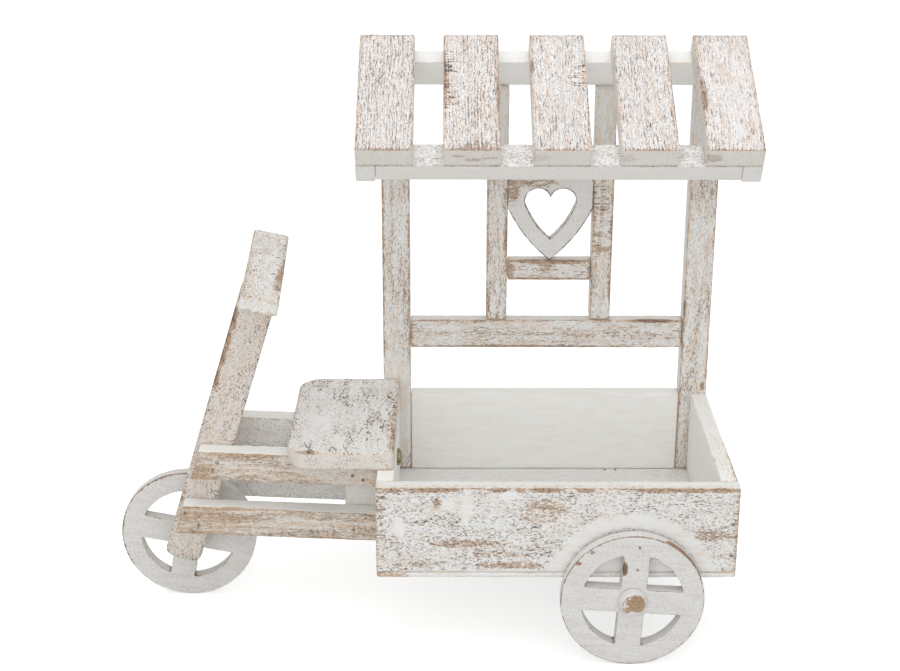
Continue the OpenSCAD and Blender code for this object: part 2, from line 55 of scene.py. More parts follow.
Colour = tuple[float, float, float]
Triple = tuple[float, float, float]
Socket = bpy.types.NodeSocket
Value = Socket | float | Triple

MM = 0.001
SHARP_TURN = math.radians(30.0)
SMOOTH_TURN = math.radians(50.0)

# How many sides round blanks get
DISC_SIDES = 160
OPENING_SIDES = 112
BORE_SIDES = 48
ARC_SIDES = 320
LOBE_SIDES = 96
CAP_SIDES = 72

# Length along and across the grain, in millimetres, of a board's unevenness, its brushing and its chips
SAG_GRAIN = (70.0, 24.0, 24.0)
BRUSH_GRAIN = (16.0, 2.4, 2.4)
CHIP_GRAIN = (9.0, 4.0, 4.0)
CHIP_REACH = 2.4  # how far from an arris chips reach

# A finish's bareness at which the paint gives way to tan wood, then to brown and to dark
PAINT_ENDS = (0.49, 0.55)
TAN_ENDS = (0.85, 1.15)
BROWN_ENDS = (1.2, 1.5)
GRIT_TONE = (0.36, 0.33, 0.32)
PORE_FADE = 0.018
SEED_STEP = (83.0, 47.0, 29.0)  # how far a pattern is moved on for each seed, in millimetres

# Sizes of a finish's patterns along and across the grain, in millimetres
BEND_SIZE = (120, 34, 34)
BEND_REACH = (0.0, 12.0, 12.0)  # how far the grain wanders
FIBRE_SIZE = (2.2, 0.8, 0.8)
LOG_HEART = (0.0, 23.0, 61.0)  # how far the year rings' middle lies from the board's
SAW_SMUDGE_SIZE = (2.4, 14, 14)
SAW_PORE_SIZE = (1.8, 9.0, 9.0)
RAGGED_SIZE = (12, 5, 5)
# Gaps in the painted shadow along a smudge's rim
SHADOW_RIM_GAP_SIZE = (4.0, 2.0, 2.0)
CURL_SIZE = (3.4, 1.7, 1.7)
CRACK_SIZE = (5.0, 3.0, 3.0)

# How strongly the patterns show
FIBRE_GAIN = 0.45
SAW_SMUDGE_GAIN = 0.05
SAW_PORE_GAIN = 0.045
# A smudge's dark rim is a painted shadow of the chipped paint's edge
SHADOW_RIM_AT = 0.51  # the bareness at which a smudge has its dark rim
SMOOTH_GRIT = 0.12  # share of the grit, the dark lines and the stain on a side that wasn't brushed
SMOOTH_LINES = 0.06
SMOOTH_STAIN = 0.25
WOOD_ROUGHNESS = 0.85
PAINT_ROUGHNESS = 0.62

# A wheel's wear: how worn its arris and its bare tread are, and how far an arc's ends fade, in degrees
ARRIS_WEAR = 0.85
TREAD_WEAR = 0.7
ARC_FADE = 8.0


class Axis(Enum):
    """Which of the planter's axes a board's grain follows."""

    X = Matrix(((1, 0, 0), (0, 1, 0), (0, 0, 1)))
    Y = Matrix(((0, -1, 0), (1, 0, 0), (0, 0, 1)))
    Z = Matrix(((0, 0, -1), (0, 1, 0), (1, 0, 0)))


class Side(Enum):
    """A side of a board, by its own axes: x along the grain."""

    FAR_END = (1, 0, 0)
    NEAR_END = (-1, 0, 0)
    BACK = (0, 1, 0)
    FRONT = (0, -1, 0)
    TOP = (0, 0, 1)
    UNDER = (0, 0, -1)


class Pick(Enum):
    """What edit mode selects."""

    POINTS = "VERT"
    EDGES = "EDGE"


class Work(Enum):
    """How one piece works on another."""

    JOIN = "UNION"
    CUT = "DIFFERENCE"
    OVERLAP = "INTERSECT"


# How strongly each side of a board was brushed, 0 to 1
Brushed = dict[Side, float]


def evenly(weight: float, **others: float) -> Brushed:
    """Brushes every side alike, but for the named ones.

    Args:
        weight: How strongly, 0 to 1.
        others: The weights of single sides, by their names.

    Returns:
        The weight of every side.
    """
    return {side: others.get(side.name.lower(), weight) for side in Side}


def srgb(red: int, green: int, blue: int) -> Colour:
    """Turns a colour given in 0 to 255 into Blender's linear values.

    Args:
        red: Red, 0 to 255.
        green: Green, 0 to 255.
        blue: Blue, 0 to 255.

    Returns:
        The linear colour.
    """
    parts = (c / 255.0 for c in (red, green, blue))
    return tuple(c / 12.92 if c <= 0.04045 else ((c + 0.055) / 1.055) ** 2.4 for c in parts)


@dataclass(frozen=True)
class Place:
    """Where a piece lies: its middle in millimetres, and its own axes as the columns of a matrix."""

    middle: Vector
    axes: Matrix

    def at(self, x: float, y: float, z: float) -> Vector:
        """The point in metres that lies x, y, z millimetres from the middle along the own axes."""
        return (self.middle + self.axes @ Vector((x, y, z))) * MM

    def matrix(self) -> Matrix:
        """The matrix that carries the piece's own frame, in metres, into the planter's."""
        return Matrix.Translation(self.middle * MM) @ self.axes.to_4x4()


@dataclass(frozen=True)
class Mark:
    """A worn spot in millimetres: its middle, counted from the box's corner, and its half lengths.

    A depth below 0 makes it a spot where the paint stayed whole.
    """

    middle: Triple
    reach: Triple
    depth: float = 0.6


@dataclass(frozen=True)
class Cut:
    """A plane that ends a board: a point in millimetres and the direction that is cut away."""

    point: Triple
    away: Triple


# The middle of the whole planter, as counted from the box's front-wheel end and open side
WHOLE_X = 42.25
MID_Y = 111.5

# Sizes that several sub-assemblies share, in millimetres and degrees
BOX_L = 300.0
BACK_Y = 223.0
POST_TOP = 453.0
ROOF_PITCH = 30.0
FORK_LEAN = 17.3
FRAME_NEAR_Y = 81.5
FRAME_FAR_Y = 141.5
FRONT_AXLE = (-172.0, 60.0)


def here(x: float, y: float, z: float) -> Vector:
    """Turns a place counted from the box's corner into the planter's frame, both in millimetres."""
    return Vector((x - WHOLE_X, y - MID_Y, z))


def from_box(place: Vector) -> Triple:
    """Turns a place in the planter's frame back into one that is counted from the box's corner."""
    return place.x + WHOLE_X, place.y + MID_Y, place.z


# Work on meshes


def deselect() -> None:
    """Leaves object mode's selection empty."""
    if bpy.context.object and bpy.context.object.mode != "OBJECT":
        bpy.ops.object.mode_set(mode="OBJECT")
    bpy.ops.object.select_all(action="DESELECT")


def choose(piece: bpy.types.Object) -> None:
    """Makes a piece the only selected and the active object.

    Args:
        piece: The mesh object.
    """
    deselect()
    piece.select_set(True)
    bpy.context.view_layer.objects.active = piece


def edit(piece: bpy.types.Object, pick: Pick = Pick.EDGES) -> bmesh.types.BMesh:
    """Opens a piece in edit mode with nothing selected.

    Args:
        piece: The mesh object.
        pick: What can be selected.

    Returns:
        The mesh that is being edited.
    """
    choose(piece)
    bpy.ops.object.mode_set(mode="EDIT")
    bpy.ops.mesh.select_mode(type=pick.value)
    bpy.ops.mesh.select_all(action="DESELECT")
    mesh = bmesh.from_edit_mesh(piece.data)
    mesh.normal_update()
    return mesh


def select_edges(piece: bpy.types.Object, wanted: Callable[[bmesh.types.BMEdge], bool]) -> int:
    """Opens a piece and selects the edges that a test picks.

    Args:
        piece: The mesh object.
        wanted: A test that takes an edge.

    Returns:
        How many edges it picked.
    """
    mesh = edit(piece)
    count = 0
    for edge in mesh.edges:
        if wanted(edge):
            edge.select = True
            count += 1
    mesh.select_flush_mode()
    bmesh.update_edit_mesh(piece.data)
    return count


def close() -> None:
    """Leaves edit mode with every normal outwards."""
    bpy.ops.mesh.select_all(action="SELECT")
    bpy.ops.mesh.normals_make_consistent(inside=False)
    bpy.ops.object.mode_set(mode="OBJECT")


def settle(piece: bpy.types.Object) -> None:
    """Puts a piece's place into its mesh, so that its object stands at the origin."""
    choose(piece)
    bpy.ops.object.transform_apply(location=True, rotation=True, scale=True)


def is_sharp(edge: bmesh.types.BMEdge) -> bool:
    """Says whether two faces meet at an arris."""
    return len(edge.link_faces) == 2 and edge.calc_face_angle(0.0) > SHARP_TURN


def sharp_lines(piece: bpy.types.Object) -> np.ndarray:
    """Gives the ends of every arris of a piece, in metres, as an array of pairs of points.

    Args:
        piece: The mesh object.

    Returns:
        The ends, as pairs of points.
    """
    mesh = bmesh.new()
    mesh.from_mesh(piece.data)
    mesh.normal_update()
    lines = [[tuple(v.co) for v in e.verts] for e in mesh.edges if is_sharp(e)]
    mesh.free()
    return np.array(lines, float).reshape(-1, 2, 3)


def ease_arrises(piece: bpy.types.Object, radius: float, steps: int = 3) -> None:
    """Rounds every arris of a piece.

    Args:
        piece: The mesh object.
        radius: How far the rounding reaches from the arris, in millimetres.
        steps: Facets of the rounding.
    """
    if select_edges(piece, is_sharp):
        bpy.ops.mesh.bevel(offset=radius * MM, offset_type="OFFSET", segments=steps, profile=0.5,
                           affect="EDGES", clamp_overlap=True)
    close()


def cut_off(piece: bpy.types.Object, point: Vector, away: Vector) -> None:
    """Saws a piece at a plane and drops what lies on the far side.

    Args:
        piece: The mesh object.
        point: A point of the plane, in metres.
        away: The direction of the side that is dropped.
    """
    edit(piece)
    bpy.ops.mesh.select_all(action="SELECT")
    bpy.ops.mesh.bisect(plane_co=point, plane_no=away, use_fill=True, clear_outer=True, clear_inner=False)
    close()


def score(piece: bpy.types.Object, place: Place, axis: int, half: float, step: float) -> None:
    """Scores a piece with level planes, so that its faces get evenly spaced points.

    Args:
        piece: The mesh object.
        place: Where the piece lies.
        axis: The own axis that the planes are square to.
        half: Half the piece's length along that axis, in millimetres.
        step: Distance between the planes, in millimetres.
    """
    edit(piece)
    count = max(1, round(2 * half / step))
    normal = place.axes.col[axis]
    for i in range(1, count):
        along = [0.0, 0.0, 0.0]
        along[axis] = -half + 2 * half * i / count
        bpy.ops.mesh.select_all(action="SELECT")
        bpy.ops.mesh.bisect(plane_co=place.at(*along), plane_no=normal, use_fill=False)
    close()


def split_runs(piece: bpy.types.Object, axis: Vector, step: float, least: float) -> None:
    """Divides the long edges that run along one direction, and the faces between them.

    Args:
        piece: The mesh object, made of four-sided faces.
        axis: The direction of the edges.
        step: Length that an edge gets, in millimetres.
        least: Shortest edge that is divided, in millimetres.
    """
    lengths: list[float] = []

    def wanted(edge: bmesh.types.BMEdge) -> bool:
        """Picks the long edges that run along the axis.

        Args:
            edge: An edge.

        Returns:
            Whether it is picked.
        """
        run = edge.verts[1].co - edge.verts[0].co
        if run.length < least * MM or abs(run.normalized().dot(axis)) < 0.8:
            return False
        lengths.append(run.length)
        return True

    if select_edges(piece, wanted):
        cuts = max(1, round(max(lengths) / (step * MM)) - 1)
        bpy.ops.mesh.subdivide(number_cuts=cuts, smoothness=0.0)
    close()


def points_of(piece: bpy.types.Object) -> np.ndarray:
    """Gives a mesh's points, in metres.

    Args:
        piece: The mesh object.

    Returns:
        One row per point.
    """
    points = np.zeros(len(piece.data.vertices) * 3, np.float32)
    piece.data.vertices.foreach_get("co", points)
    return points.reshape(-1, 3).astype(float)


def distance_to(points: np.ndarray, lines: np.ndarray) -> np.ndarray:
    """Measures how far points lie from the nearest of some lines.

    Args:
        points: The points, in metres.
        lines: The lines' ends, in metres.

    Returns:
        The distances, in millimetres.
    """
    nearest = np.full(len(points), 1.0)
    for start, end in lines:
        run = end - start
        share = np.clip((points - start) @ run / max(run @ run, 1e-12), 0.0, 1.0)
        gap = points - start - share[:, None] * run
        nearest = np.minimum(nearest, np.einsum("ij,ij->i", gap, gap))
    return np.sqrt(nearest) / MM


def write_attribute(piece: bpy.types.Object, name: str, values: np.ndarray) -> None:
    """Writes one number per point on a mesh, for its finish to read."""
    attribute = piece.data.attributes.new(name, "FLOAT", "POINT")
    attribute.data.foreach_set("value", values.astype(np.float32))


def group_points(piece: bpy.types.Object, name: str, weights: np.ndarray) -> None:
    """Puts a mesh's points in a vertex group, in eight steps of weight.

    Args:
        piece: The mesh object.
        name: Name of the group.
        weights: A weight per point, 0 to 1.
    """
    group = piece.vertex_groups.new(name=name)
    levels = np.round(weights * 8).astype(int)
    for level in range(1, 9):
        members = np.nonzero(levels == level)[0]
        if len(members):
            group.add(members.tolist(), level / 8.0, "REPLACE")


def carve(piece: bpy.types.Object, place: Place, grain: Triple, depth: float,
          seed: int, group: str = "", detail: int = 2) -> None:
    """Sinks a piece's surface unevenly, along its grain, and never lifts it.

    Args:
        piece: The mesh object.
        place: Where the piece lies.
        grain: Length of the unevenness along the own axes, in millimetres.
        depth: Greatest depth, in millimetres.
        seed: Which stretch of the unevenness it takes.
        group: Vertex group that limits it, or nothing.
        detail: How many finer layers it has.
    """
    cloud = bpy.data.textures.new(f"{piece.name}_{group or 'face'}_wear", "CLOUDS")
    cloud.noise_scale = 1.0
    cloud.noise_depth = detail
    guide = bpy.data.objects.new("grain_guide", None)
    bpy.context.scene.collection.objects.link(guide)
    scale = Matrix.Diagonal(Vector([g * MM for g in grain])).to_4x4()
    guide.matrix_world = place.matrix() @ Matrix.Translation(Vector((seed * 0.131, 0, 0))) @ scale
    bpy.context.view_layer.update()
    choose(piece)
    wear = piece.modifiers.new("wear", "DISPLACE")
    wear.texture = cloud
    wear.texture_coords = "OBJECT"
    wear.texture_coords_object = guide
    wear.direction = "NORMAL"
    wear.mid_level = 1.0
    wear.strength = depth * MM
    wear.vertex_group = group
    bpy.ops.object.modifier_apply(modifier=wear.name)
    bpy.data.objects.remove(guide)
    bpy.data.textures.remove(cloud)


def worn_by(points: np.ndarray, marks: tuple[Mark, ...]) -> np.ndarray:
    """Works out how worn each point is by a piece's marks.

    Args:
        points: The points, in metres.
        marks: The worn spots.

    Returns:
        The wear, 0 at most places and up to a mark's depth in its middle half.
    """
    wear, kept = np.zeros(len(points)), np.zeros(len(points))
    for mark in marks:
        off = (points / MM - np.array(here(*mark.middle))) / np.array(mark.reach)
        depth = mark.depth * np.clip(2.0 - 2.0 * np.sqrt((off * off).sum(1)), 0.0, 1.0)
        wear, kept = np.maximum(wear, depth), np.minimum(kept, depth)
    return wear + kept


def brushing(piece: bpy.types.Object, place: Place, brushed: Brushed) -> np.ndarray:
    """Says how strongly each point of a board was brushed.

    Args:
        piece: The mesh object.
        place: Where the piece lies.
        brushed: The weight of each side that was brushed.

    Returns:
        The weights of the sides, with a smooth change over the arrises.
    """
    normals = np.zeros(len(piece.data.vertices) * 3, np.float32)
    piece.data.vertices.foreach_get("normal", normals)
    own = normals.reshape(-1, 3) @ np.array(place.axes)
    share = np.zeros(len(own))
    for side, weight in brushed.items():
        share = np.maximum(share, weight * np.clip((own @ np.array(side.value) - 0.55) / 0.35, 0.0, 1.0))
    return share


# Finishes


class Sketch:
    """The nodes of a material or a world, written as short calls."""

    def __init__(self, owner: bpy.types.Material | bpy.types.World) -> None:
        """Empties the owner's node tree.

        Args:
            owner: The material or the world that gets the nodes.
        """
        owner.use_nodes = True
        self.owner = owner
        self.tree = owner.node_tree
        self.tree.nodes.clear()

    @classmethod
    def named(cls, name: str) -> "Sketch":
        """Starts a new material of that name."""
        return cls(bpy.data.materials.new(name))

    def node(self, kind: str, **settings: object) -> bpy.types.Node:
        """Adds a node and sets its properties.

        Args:
            kind: Type of the node.
            settings: Its properties.

        Returns:
            The node.
        """
        made = self.tree.nodes.new(kind)
        for key, value in settings.items():
            setattr(made, key, value)
        return made

    def feed(self, socket: Socket, value: Value) -> None:
        """Links a socket to another one, or sets its number.

        Args:
            socket: The socket that is fed.
            value: A socket, a number or three numbers.
        """
        if isinstance(value, bpy.types.NodeSocket):
            self.tree.links.new(value, socket)
        else:
            socket.default_value = value

    def math(self, operation: str, first: Value, second: Value = 0.0, clamp: bool = False) -> Socket:
        """A Math node on two numbers or sockets.

        Args:
            operation: What the node does.
            first: Its first operand.
            second: Its second.
            clamp: Whether it ends at 0 and 1.

        Returns:
            The result.
        """
        made = self.node("ShaderNodeMath", operation=operation, use_clamp=clamp)
        self.feed(made.inputs[0], first)
        self.feed(made.inputs[1], second)
        return made.outputs[0]

    def vector(self, operation: str, first: Value, second: Value) -> Socket:
        """A Vector Math node.

        Args:
            operation: What the node does.
            first: Its first operand.
            second: Its second.

        Returns:
            The result.
        """
        made = self.node("ShaderNodeVectorMath", operation=operation)
        self.feed(made.inputs[0], first)
        self.feed(made.inputs[1], second)
        return made.outputs[0]

    def noise(self, place: Socket, size: Triple, detail: float = 2.0,
              rough: float = 0.55, colour: bool = False) -> Socket:
        """Noise whose features have a size in millimetres along each own axis.

        Args:
            place: The shaded point.
            size: Size of the features.
            detail: Number of finer layers.
            rough: Strength of each finer layer.
            colour: Whether it gives a colour, not a number.

        Returns:
            The noise, about 0.5 in its middle.
        """
        stretched = self.vector("MULTIPLY", place, tuple(1.0 / s for s in size))
        made = self.node("ShaderNodeTexNoise", noise_dimensions="3D")
        self.feed(made.inputs["Vector"], stretched)
        made.inputs["Scale"].default_value = 1.0
        made.inputs["Detail"].default_value = detail
        made.inputs["Roughness"].default_value = rough
        return made.outputs["Color" if colour else "Fac"]

    def spread(self, value: Value, low: float, high: float, to_low: float = 0.0, to_high: float = 1.0,
               smooth: bool = True) -> Socket:
        """Maps a range of numbers onto another, clamped.

        Args:
            value: What is mapped.
            low: Start of its range.
            high: End of its range.
            to_low: What the start becomes.
            to_high: What the end becomes.
            smooth: Whether it eases in and out.

        Returns:
            The mapped number.
        """
        made = self.node("ShaderNodeMapRange", clamp=True,
                         interpolation_type="SMOOTHSTEP" if smooth else "LINEAR")
        self.feed(made.inputs["Value"], value)
        for key, number in (("From Min", low), ("From Max", high), ("To Min", to_low), ("To Max", to_high)):
            self.feed(made.inputs[key], number)
        return made.outputs[0]

    def mix(self, share: Value, first: Value, second: Value, blend: str = "MIX") -> Socket:
        """Mixes two colours.

        Args:
            share: Share of the second.
            first: The first colour.
            second: The second colour.
            blend: How the second is laid on.

        Returns:
            The mixed colour.
        """
        made = self.node("ShaderNodeMix", data_type="RGBA", blend_type=blend, clamp_factor=True)
        for index, value in ((0, share), (6, first), (7, second)):
            if not isinstance(value, bpy.types.NodeSocket) and index > 0:
                value = (*value, 1.0)
            self.feed(made.inputs[index], value)
        return made.outputs[2]

    def attribute(self, name: str) -> Socket:
        """Reads a number that is written on the mesh."""
        made = self.node("ShaderNodeAttribute", attribute_type="GEOMETRY", attribute_name=name)
        return made.outputs["Fac"]

    def own_place(self, place: Place, seed: int) -> Socket:
        """The shaded point in the piece's own frame, in millimetres, moved on by the seed.

        Args:
            place: Where the piece lies.
            seed: Which stretch of the patterns it takes.

        Returns:
            The point.
        """
        coordinates = self.node("ShaderNodeTexCoord").outputs["Object"]
        made = self.node("ShaderNodeMapping", vector_type="POINT")
        self.feed(made.inputs["Vector"], coordinates)
        inverse = place.axes.transposed()
        made.inputs["Scale"].default_value = (1 / MM, 1 / MM, 1 / MM)
        made.inputs["Rotation"].default_value = inverse.to_euler()
        made.inputs["Location"].default_value = inverse @ -place.middle + Vector(SEED_STEP) * seed
        return made.outputs[0]

    def finish(self, colour: Value, roughness: Value, height: Socket | None = None, lift: float = 0.1,
               metal: float = 0.0, sheen: float = 0.5) -> bpy.types.Material:
        """Ends the material with a Principled shader and a bump.

        Args:
            colour: Base colour.
            roughness: Roughness.
            height: Height that the bump reads, 0 to 1, or nothing.
            lift: Height of the bump in millimetres.
            metal: 1 on metal.
            sheen: Specular level of what isn't metal.

        Returns:
            The finished material.
        """
        shader = self.node("ShaderNodeBsdfPrincipled")
        self.feed(shader.inputs["Base Color"], colour)
        self.feed(shader.inputs["Roughness"], roughness)
        shader.inputs["Metallic"].default_value = metal
        shader.inputs["Specular IOR Level"].default_value = sheen
        if height is not None:
            bump = self.node("ShaderNodeBump")
            bump.inputs["Strength"].default_value = 1.0
            bump.inputs["Distance"].default_value = lift * MM
            self.feed(bump.inputs["Height"], height)
            self.feed(shader.inputs["Normal"], bump.outputs["Normal"])
        output = self.node("ShaderNodeOutputMaterial")
        self.tree.links.new(shader.outputs[0], output.inputs["Surface"])
        return self.owner


@dataclass(frozen=True)
class Whitewash:
    """Whitewash on pine, brushed thin and sanded back. Lengths are in millimetres.

    A bareness is summed up from smudges, rings, patches, arrises and marks. Past 0.5 the paint gives
    way to tan wood, then to brown and to dark. Brushed sides get it in full, smooth ones only a little.
    On top lie fine grit, the broken dark rims of the smudges, which are a painted shadow of the chipped
    paint's edges, short pores along the grain and cracks, and a cream band along the arrises. The specks
    gather in patches, along the year rings and near the arrises, each as far as its own number says.
    Unbrushed sides may take their own paint colour: a darker one is painted shade, a lighter one painted
    light.
    """

    paint: Colour = srgb(240, 240, 238)
    veil: Colour = srgb(231, 211, 190)
    tan: Colour = srgb(207, 182, 158)
    brown: Colour = srgb(156, 128, 108)
    dark: Colour = srgb(102, 89, 81)
    smudge: tuple[float, float] = (6.0, 1.1)
    smudge_gain: float = 0.85
    ring_gap: float = 3.0
    ring_gain: float = 0.1
    patch: tuple[float, float] = (45.0, 12.0)
    patch_gain: float = 0.12
    grit: tuple[float, float] = (1.6, 0.95)
    grit_gain: float = 0.6
    bare: float = 0.36
    hold: float = 0.22
    # How dark the painted shadow at the smudges' rims gets
    rim: float = 0.7
    pore: tuple[float, float] = (3.4, 0.9)
    pores: float = 0.8
    scarce: float = 0.605
    clump: float = 0.5
    ringed: float = 0.0
    nibbled: float = 0.02
    cracks: float = 0.7
    arris: float = 1.2
    arris_gain: float = 0.25
    cream: float = 2.5
    tint: float = 0.5
    stain: tuple[float, float] = (24.0, 5.0)
    # Paint of the sides that weren't brushed: a darker one paints their shade, a lighter one paints the light
    # on them
    side: Colour | None = None
    relief: float = 0.3

    def material(self, name: str, place: Place, seed: int) -> bpy.types.Material:
        """Builds the finish for one board.

        Args:
            name: Name of the material.
            place: Where the board lies, its x along the grain.
            seed: Which stretch of the patterns it takes.

        Returns:
            The material.
        """
        s = Sketch.named(name)
        own = s.own_place(place, seed)
        bend = s.vector("SUBTRACT", s.noise(own, BEND_SIZE, 1.0, 0.5, colour=True), (0.5, 0.5, 0.5))
        grain = s.vector("ADD", own, s.vector("MULTIPLY", bend, BEND_REACH))
        brushed = s.attribute("brushed")
        patch_long, patch_wide = self.patch
        zone = s.spread(s.noise(own, (patch_long, patch_wide, patch_wide), 2.5, 0.55), 0.36, 0.64)
        fine = s.noise(grain, FIBRE_SIZE, 2.0, 0.6)
        long, wide = self.grit
        grit = s.noise(grain, (long, wide, wide), 1.5, 0.6)
        rings = self._rings(s, grain)
        bare = self._bareness(s, own, grain, brushed, zone, fine, rings)
        gathered = s.math("MULTIPLY", s.spread(zone, 0.0, 1.0, 1.0 - 0.6 * self.clump, 1.0),
                          self._open_to_wear(s))
        shade = s.math("MULTIPLY", self._dark_lines(s, own, grain, brushed, zone, bare, rings), gathered)
        grit = s.math("MULTIPLY", s.spread(grit, 0.49, 0.68, 0.0, self.grit_gain),
                      s.math("MULTIPLY", s.spread(brushed, 0.0, 1.0, SMOOTH_GRIT, 1.0), gathered))
        return self._dress(s, grain, brushed, fine, grit, bare, shade)

    @staticmethod
    def _open_to_wear(s: Sketch) -> Socket:
        """1 on most of the board and 0 where a mark keeps the paint whole."""
        return s.spread(s.attribute("worn"), -0.5, 0.0)

    def _rings(self, s: Sketch, grain: Socket) -> Socket:
        """The year rings of a board that was sawn well away from the heart of the log.

        Args:
            s: The finish's sketch.
            grain: The shaded point, bent with the grain.

        Returns:
            The rings, 0 to 1.
        """
        off = s.vector("ADD", grain, LOG_HEART)
        made = s.node("ShaderNodeTexWave", wave_type="RINGS", rings_direction="X", wave_profile="SAW")
        s.feed(made.inputs["Vector"], s.vector("MULTIPLY", off, (0.06, 1.0, 1.0)))
        made.inputs["Scale"].default_value = math.pi / 10.0 / self.ring_gap
        made.inputs["Distortion"].default_value = 1.5
        made.inputs["Detail"].default_value = 2.0
        made.inputs["Detail Scale"].default_value = 0.05
        return made.outputs["Fac"]

    @staticmethod
    def _turned(s: Sketch, along: Socket, across: Socket) -> Socket:
        """Changes a pattern from one along the grain to one across it, where the board shows saw marks."""
        change = s.math("SUBTRACT", across, along)
        return s.math("ADD", along, s.math("MULTIPLY", s.attribute("sawn"), change))

    def _bareness(self, s: Sketch, own: Socket, grain: Socket, brushed: Socket, zone: Socket, fine: Socket,
                  rings: Socket) -> Socket:
        """How far the paint is gone, with wood past 0.5.

        Args:
            s: The finish's sketch.
            own: The shaded point.
            grain: The shaded point, bent with the grain.
            brushed: How strongly the side was brushed.
            zone: The large patches.
            fine: The fine fibres.
            rings: The year rings.

        Returns:
            The bareness.
        """
        long, wide = self.smudge
        along = s.noise(grain, (long, wide, wide), 3.0, 0.62)
        across = s.math("ADD", s.noise(own, SAW_SMUDGE_SIZE, 2.0, 0.6), SAW_SMUDGE_GAIN)
        smudges = self._turned(s, along, across)
        ragged = s.noise(own, RAGGED_SIZE, 3.0, 0.6)
        reach = s.math("MULTIPLY", s.spread(ragged, 0.3, 0.75, 0.1, 2.4), self.arris)
        edge = s.math("SUBTRACT", 1.0, s.math("DIVIDE", s.attribute("arris"), reach), clamp=True)
        bare = s.math("MULTIPLY", s.math("SUBTRACT", brushed, 1.0), self.hold)
        for part, gain, middle, by_brush in (
                (smudges, self.smudge_gain, 0.5, False), (zone, self.patch_gain, 0.5, True),
                (rings, self.ring_gain, 0.5, True), (edge, self.arris_gain, 0.0, False),
                (s.attribute("worn"), 1.0, 0.0, False), (fine, FIBRE_GAIN, 0.5, False)):
            if gain:
                term = s.math("MULTIPLY", s.math("SUBTRACT", part, middle), gain)
                bare = s.math("ADD", bare, s.math("MULTIPLY", term, brushed) if by_brush else term)
        return s.math("ADD", bare, self.bare)

    def _dark_lines(self, s: Sketch, own: Socket, grain: Socket, brushed: Socket, zone: Socket,
                    bare: Socket, rings: Socket) -> Socket:
        """How dark the rims of the smudges, a painted shadow of the chipped paint's edges, the pores and the
        cracks are.

        Args:
            s: The finish's sketch.
            own: The shaded point.
            grain: The shaded point, bent with the grain.
            brushed: How strongly the side was brushed.
            zone: The large patches.
            bare: The bareness.
            rings: The year rings.

        Returns:
            The darkness, 0 to 1.
        """
        # Painted shadow: a broken dark line where the bareness crosses a smudge's rim, as if the chipped
        # paint's edge cast it
        off_shadow_rim = s.math("ABSOLUTE", s.math("SUBTRACT", bare, SHADOW_RIM_AT))
        broken = s.spread(s.noise(own, SHADOW_RIM_GAP_SIZE, 2.0, 0.6), 0.44, 0.58, 0.0, self.rim)
        shade = s.math("MULTIPLY", s.spread(off_shadow_rim, 0.01, 0.05, 1.0, 0.0), broken)
        if self.pores:
            long, wide = self.pore
            spots = self._turned(s, s.noise(grain, (long, wide, wide), 2.0, 0.55),
                                 s.math("ADD", s.noise(own, SAW_PORE_SIZE, 2.0, 0.55), SAW_PORE_GAIN))
            near = s.spread(s.attribute("arris"), 0.0, 6.0, 1.0, 0.0)
            for part, gain, middle in ((zone, 0.1 * self.clump, 0.5), (rings, self.ringed, 0.5),
                                       (near, self.nibbled, 0.0)):
                if gain:
                    spots = s.math("ADD", spots, s.math("MULTIPLY", s.math("SUBTRACT", part, middle), gain))
            dots = s.spread(spots, self.scarce, self.scarce + PORE_FADE, 0.0, self.pores)
            shade = s.math("MAXIMUM", shade, dots)
        if self.cracks:
            curl = s.math("ABSOLUTE", s.math("SUBTRACT", s.noise(own, CURL_SIZE, 1.0, 0.5), 0.5))
            short = s.spread(s.noise(own, CRACK_SIZE, 2.0, 0.6), 0.52, 0.6, 0.0, self.cracks)
            line = s.math("MULTIPLY", s.spread(curl, 0.01, 0.04, 1.0, 0.0), short)
            shade = s.math("MAXIMUM", shade, line)
        return s.math("MULTIPLY", shade, s.spread(brushed, 0.0, 1.0, SMOOTH_LINES, 1.0))

    def _dress(self, s: Sketch, grain: Socket, brushed: Socket, fine: Socket, grit: Socket, bare: Socket,
               shade: Socket) -> bpy.types.Material:
        """Turns the bareness, the grit and the dark lines into colour, roughness and relief.

        Args:
            s: The finish's sketch.
            grain: The shaded point, bent with the grain.
            brushed: How strongly the side was brushed.
            fine: The fine fibres.
            grit: The grit.
            bare: The bareness.
            shade: The dark lines, with the painted shadow at the smudges' rims.

        Returns:
            The material.
        """
        long, wide = self.stain
        mottle = s.noise(grain, (long, wide, wide), 3.0, 0.62)
        thin = s.math("MULTIPLY", s.spread(mottle, 0.42, 0.66, 0.0, self.tint),
                      s.spread(brushed, 0.0, 1.0, SMOOTH_STAIN, 1.0))
        thin = s.math("MAXIMUM", thin, s.spread(bare, 0.36, 0.5, 0.0, 0.85))
        if self.cream:
            wide = s.math("MULTIPLY", s.spread(mottle, 0.3, 0.7, 0.1, 2.0), self.cream)
            band = s.math("SUBTRACT", 1.0, s.math("DIVIDE", s.attribute("arris"), wide), clamp=True)
            band = s.math("MULTIPLY", s.spread(band, 0.0, 0.6, 0.0, 0.9), self._open_to_wear(s))
            thin = s.math("MAXIMUM", thin, s.math("MULTIPLY", band, s.spread(brushed, 0.1, 0.6, 0.5, 1.0)))
        wood = s.mix(s.spread(fine, 0.4, 0.66), self.tan, self.brown)
        wood = s.mix(s.spread(bare, 0.5, 0.8, 1.0, 0.0), wood, self.tan)
        wood = s.mix(s.spread(bare, *TAN_ENDS), wood, self.brown)
        wood = s.mix(s.spread(bare, *BROWN_ENDS), wood, self.dark)
        coat = s.mix(thin, self.paint, self.veil)
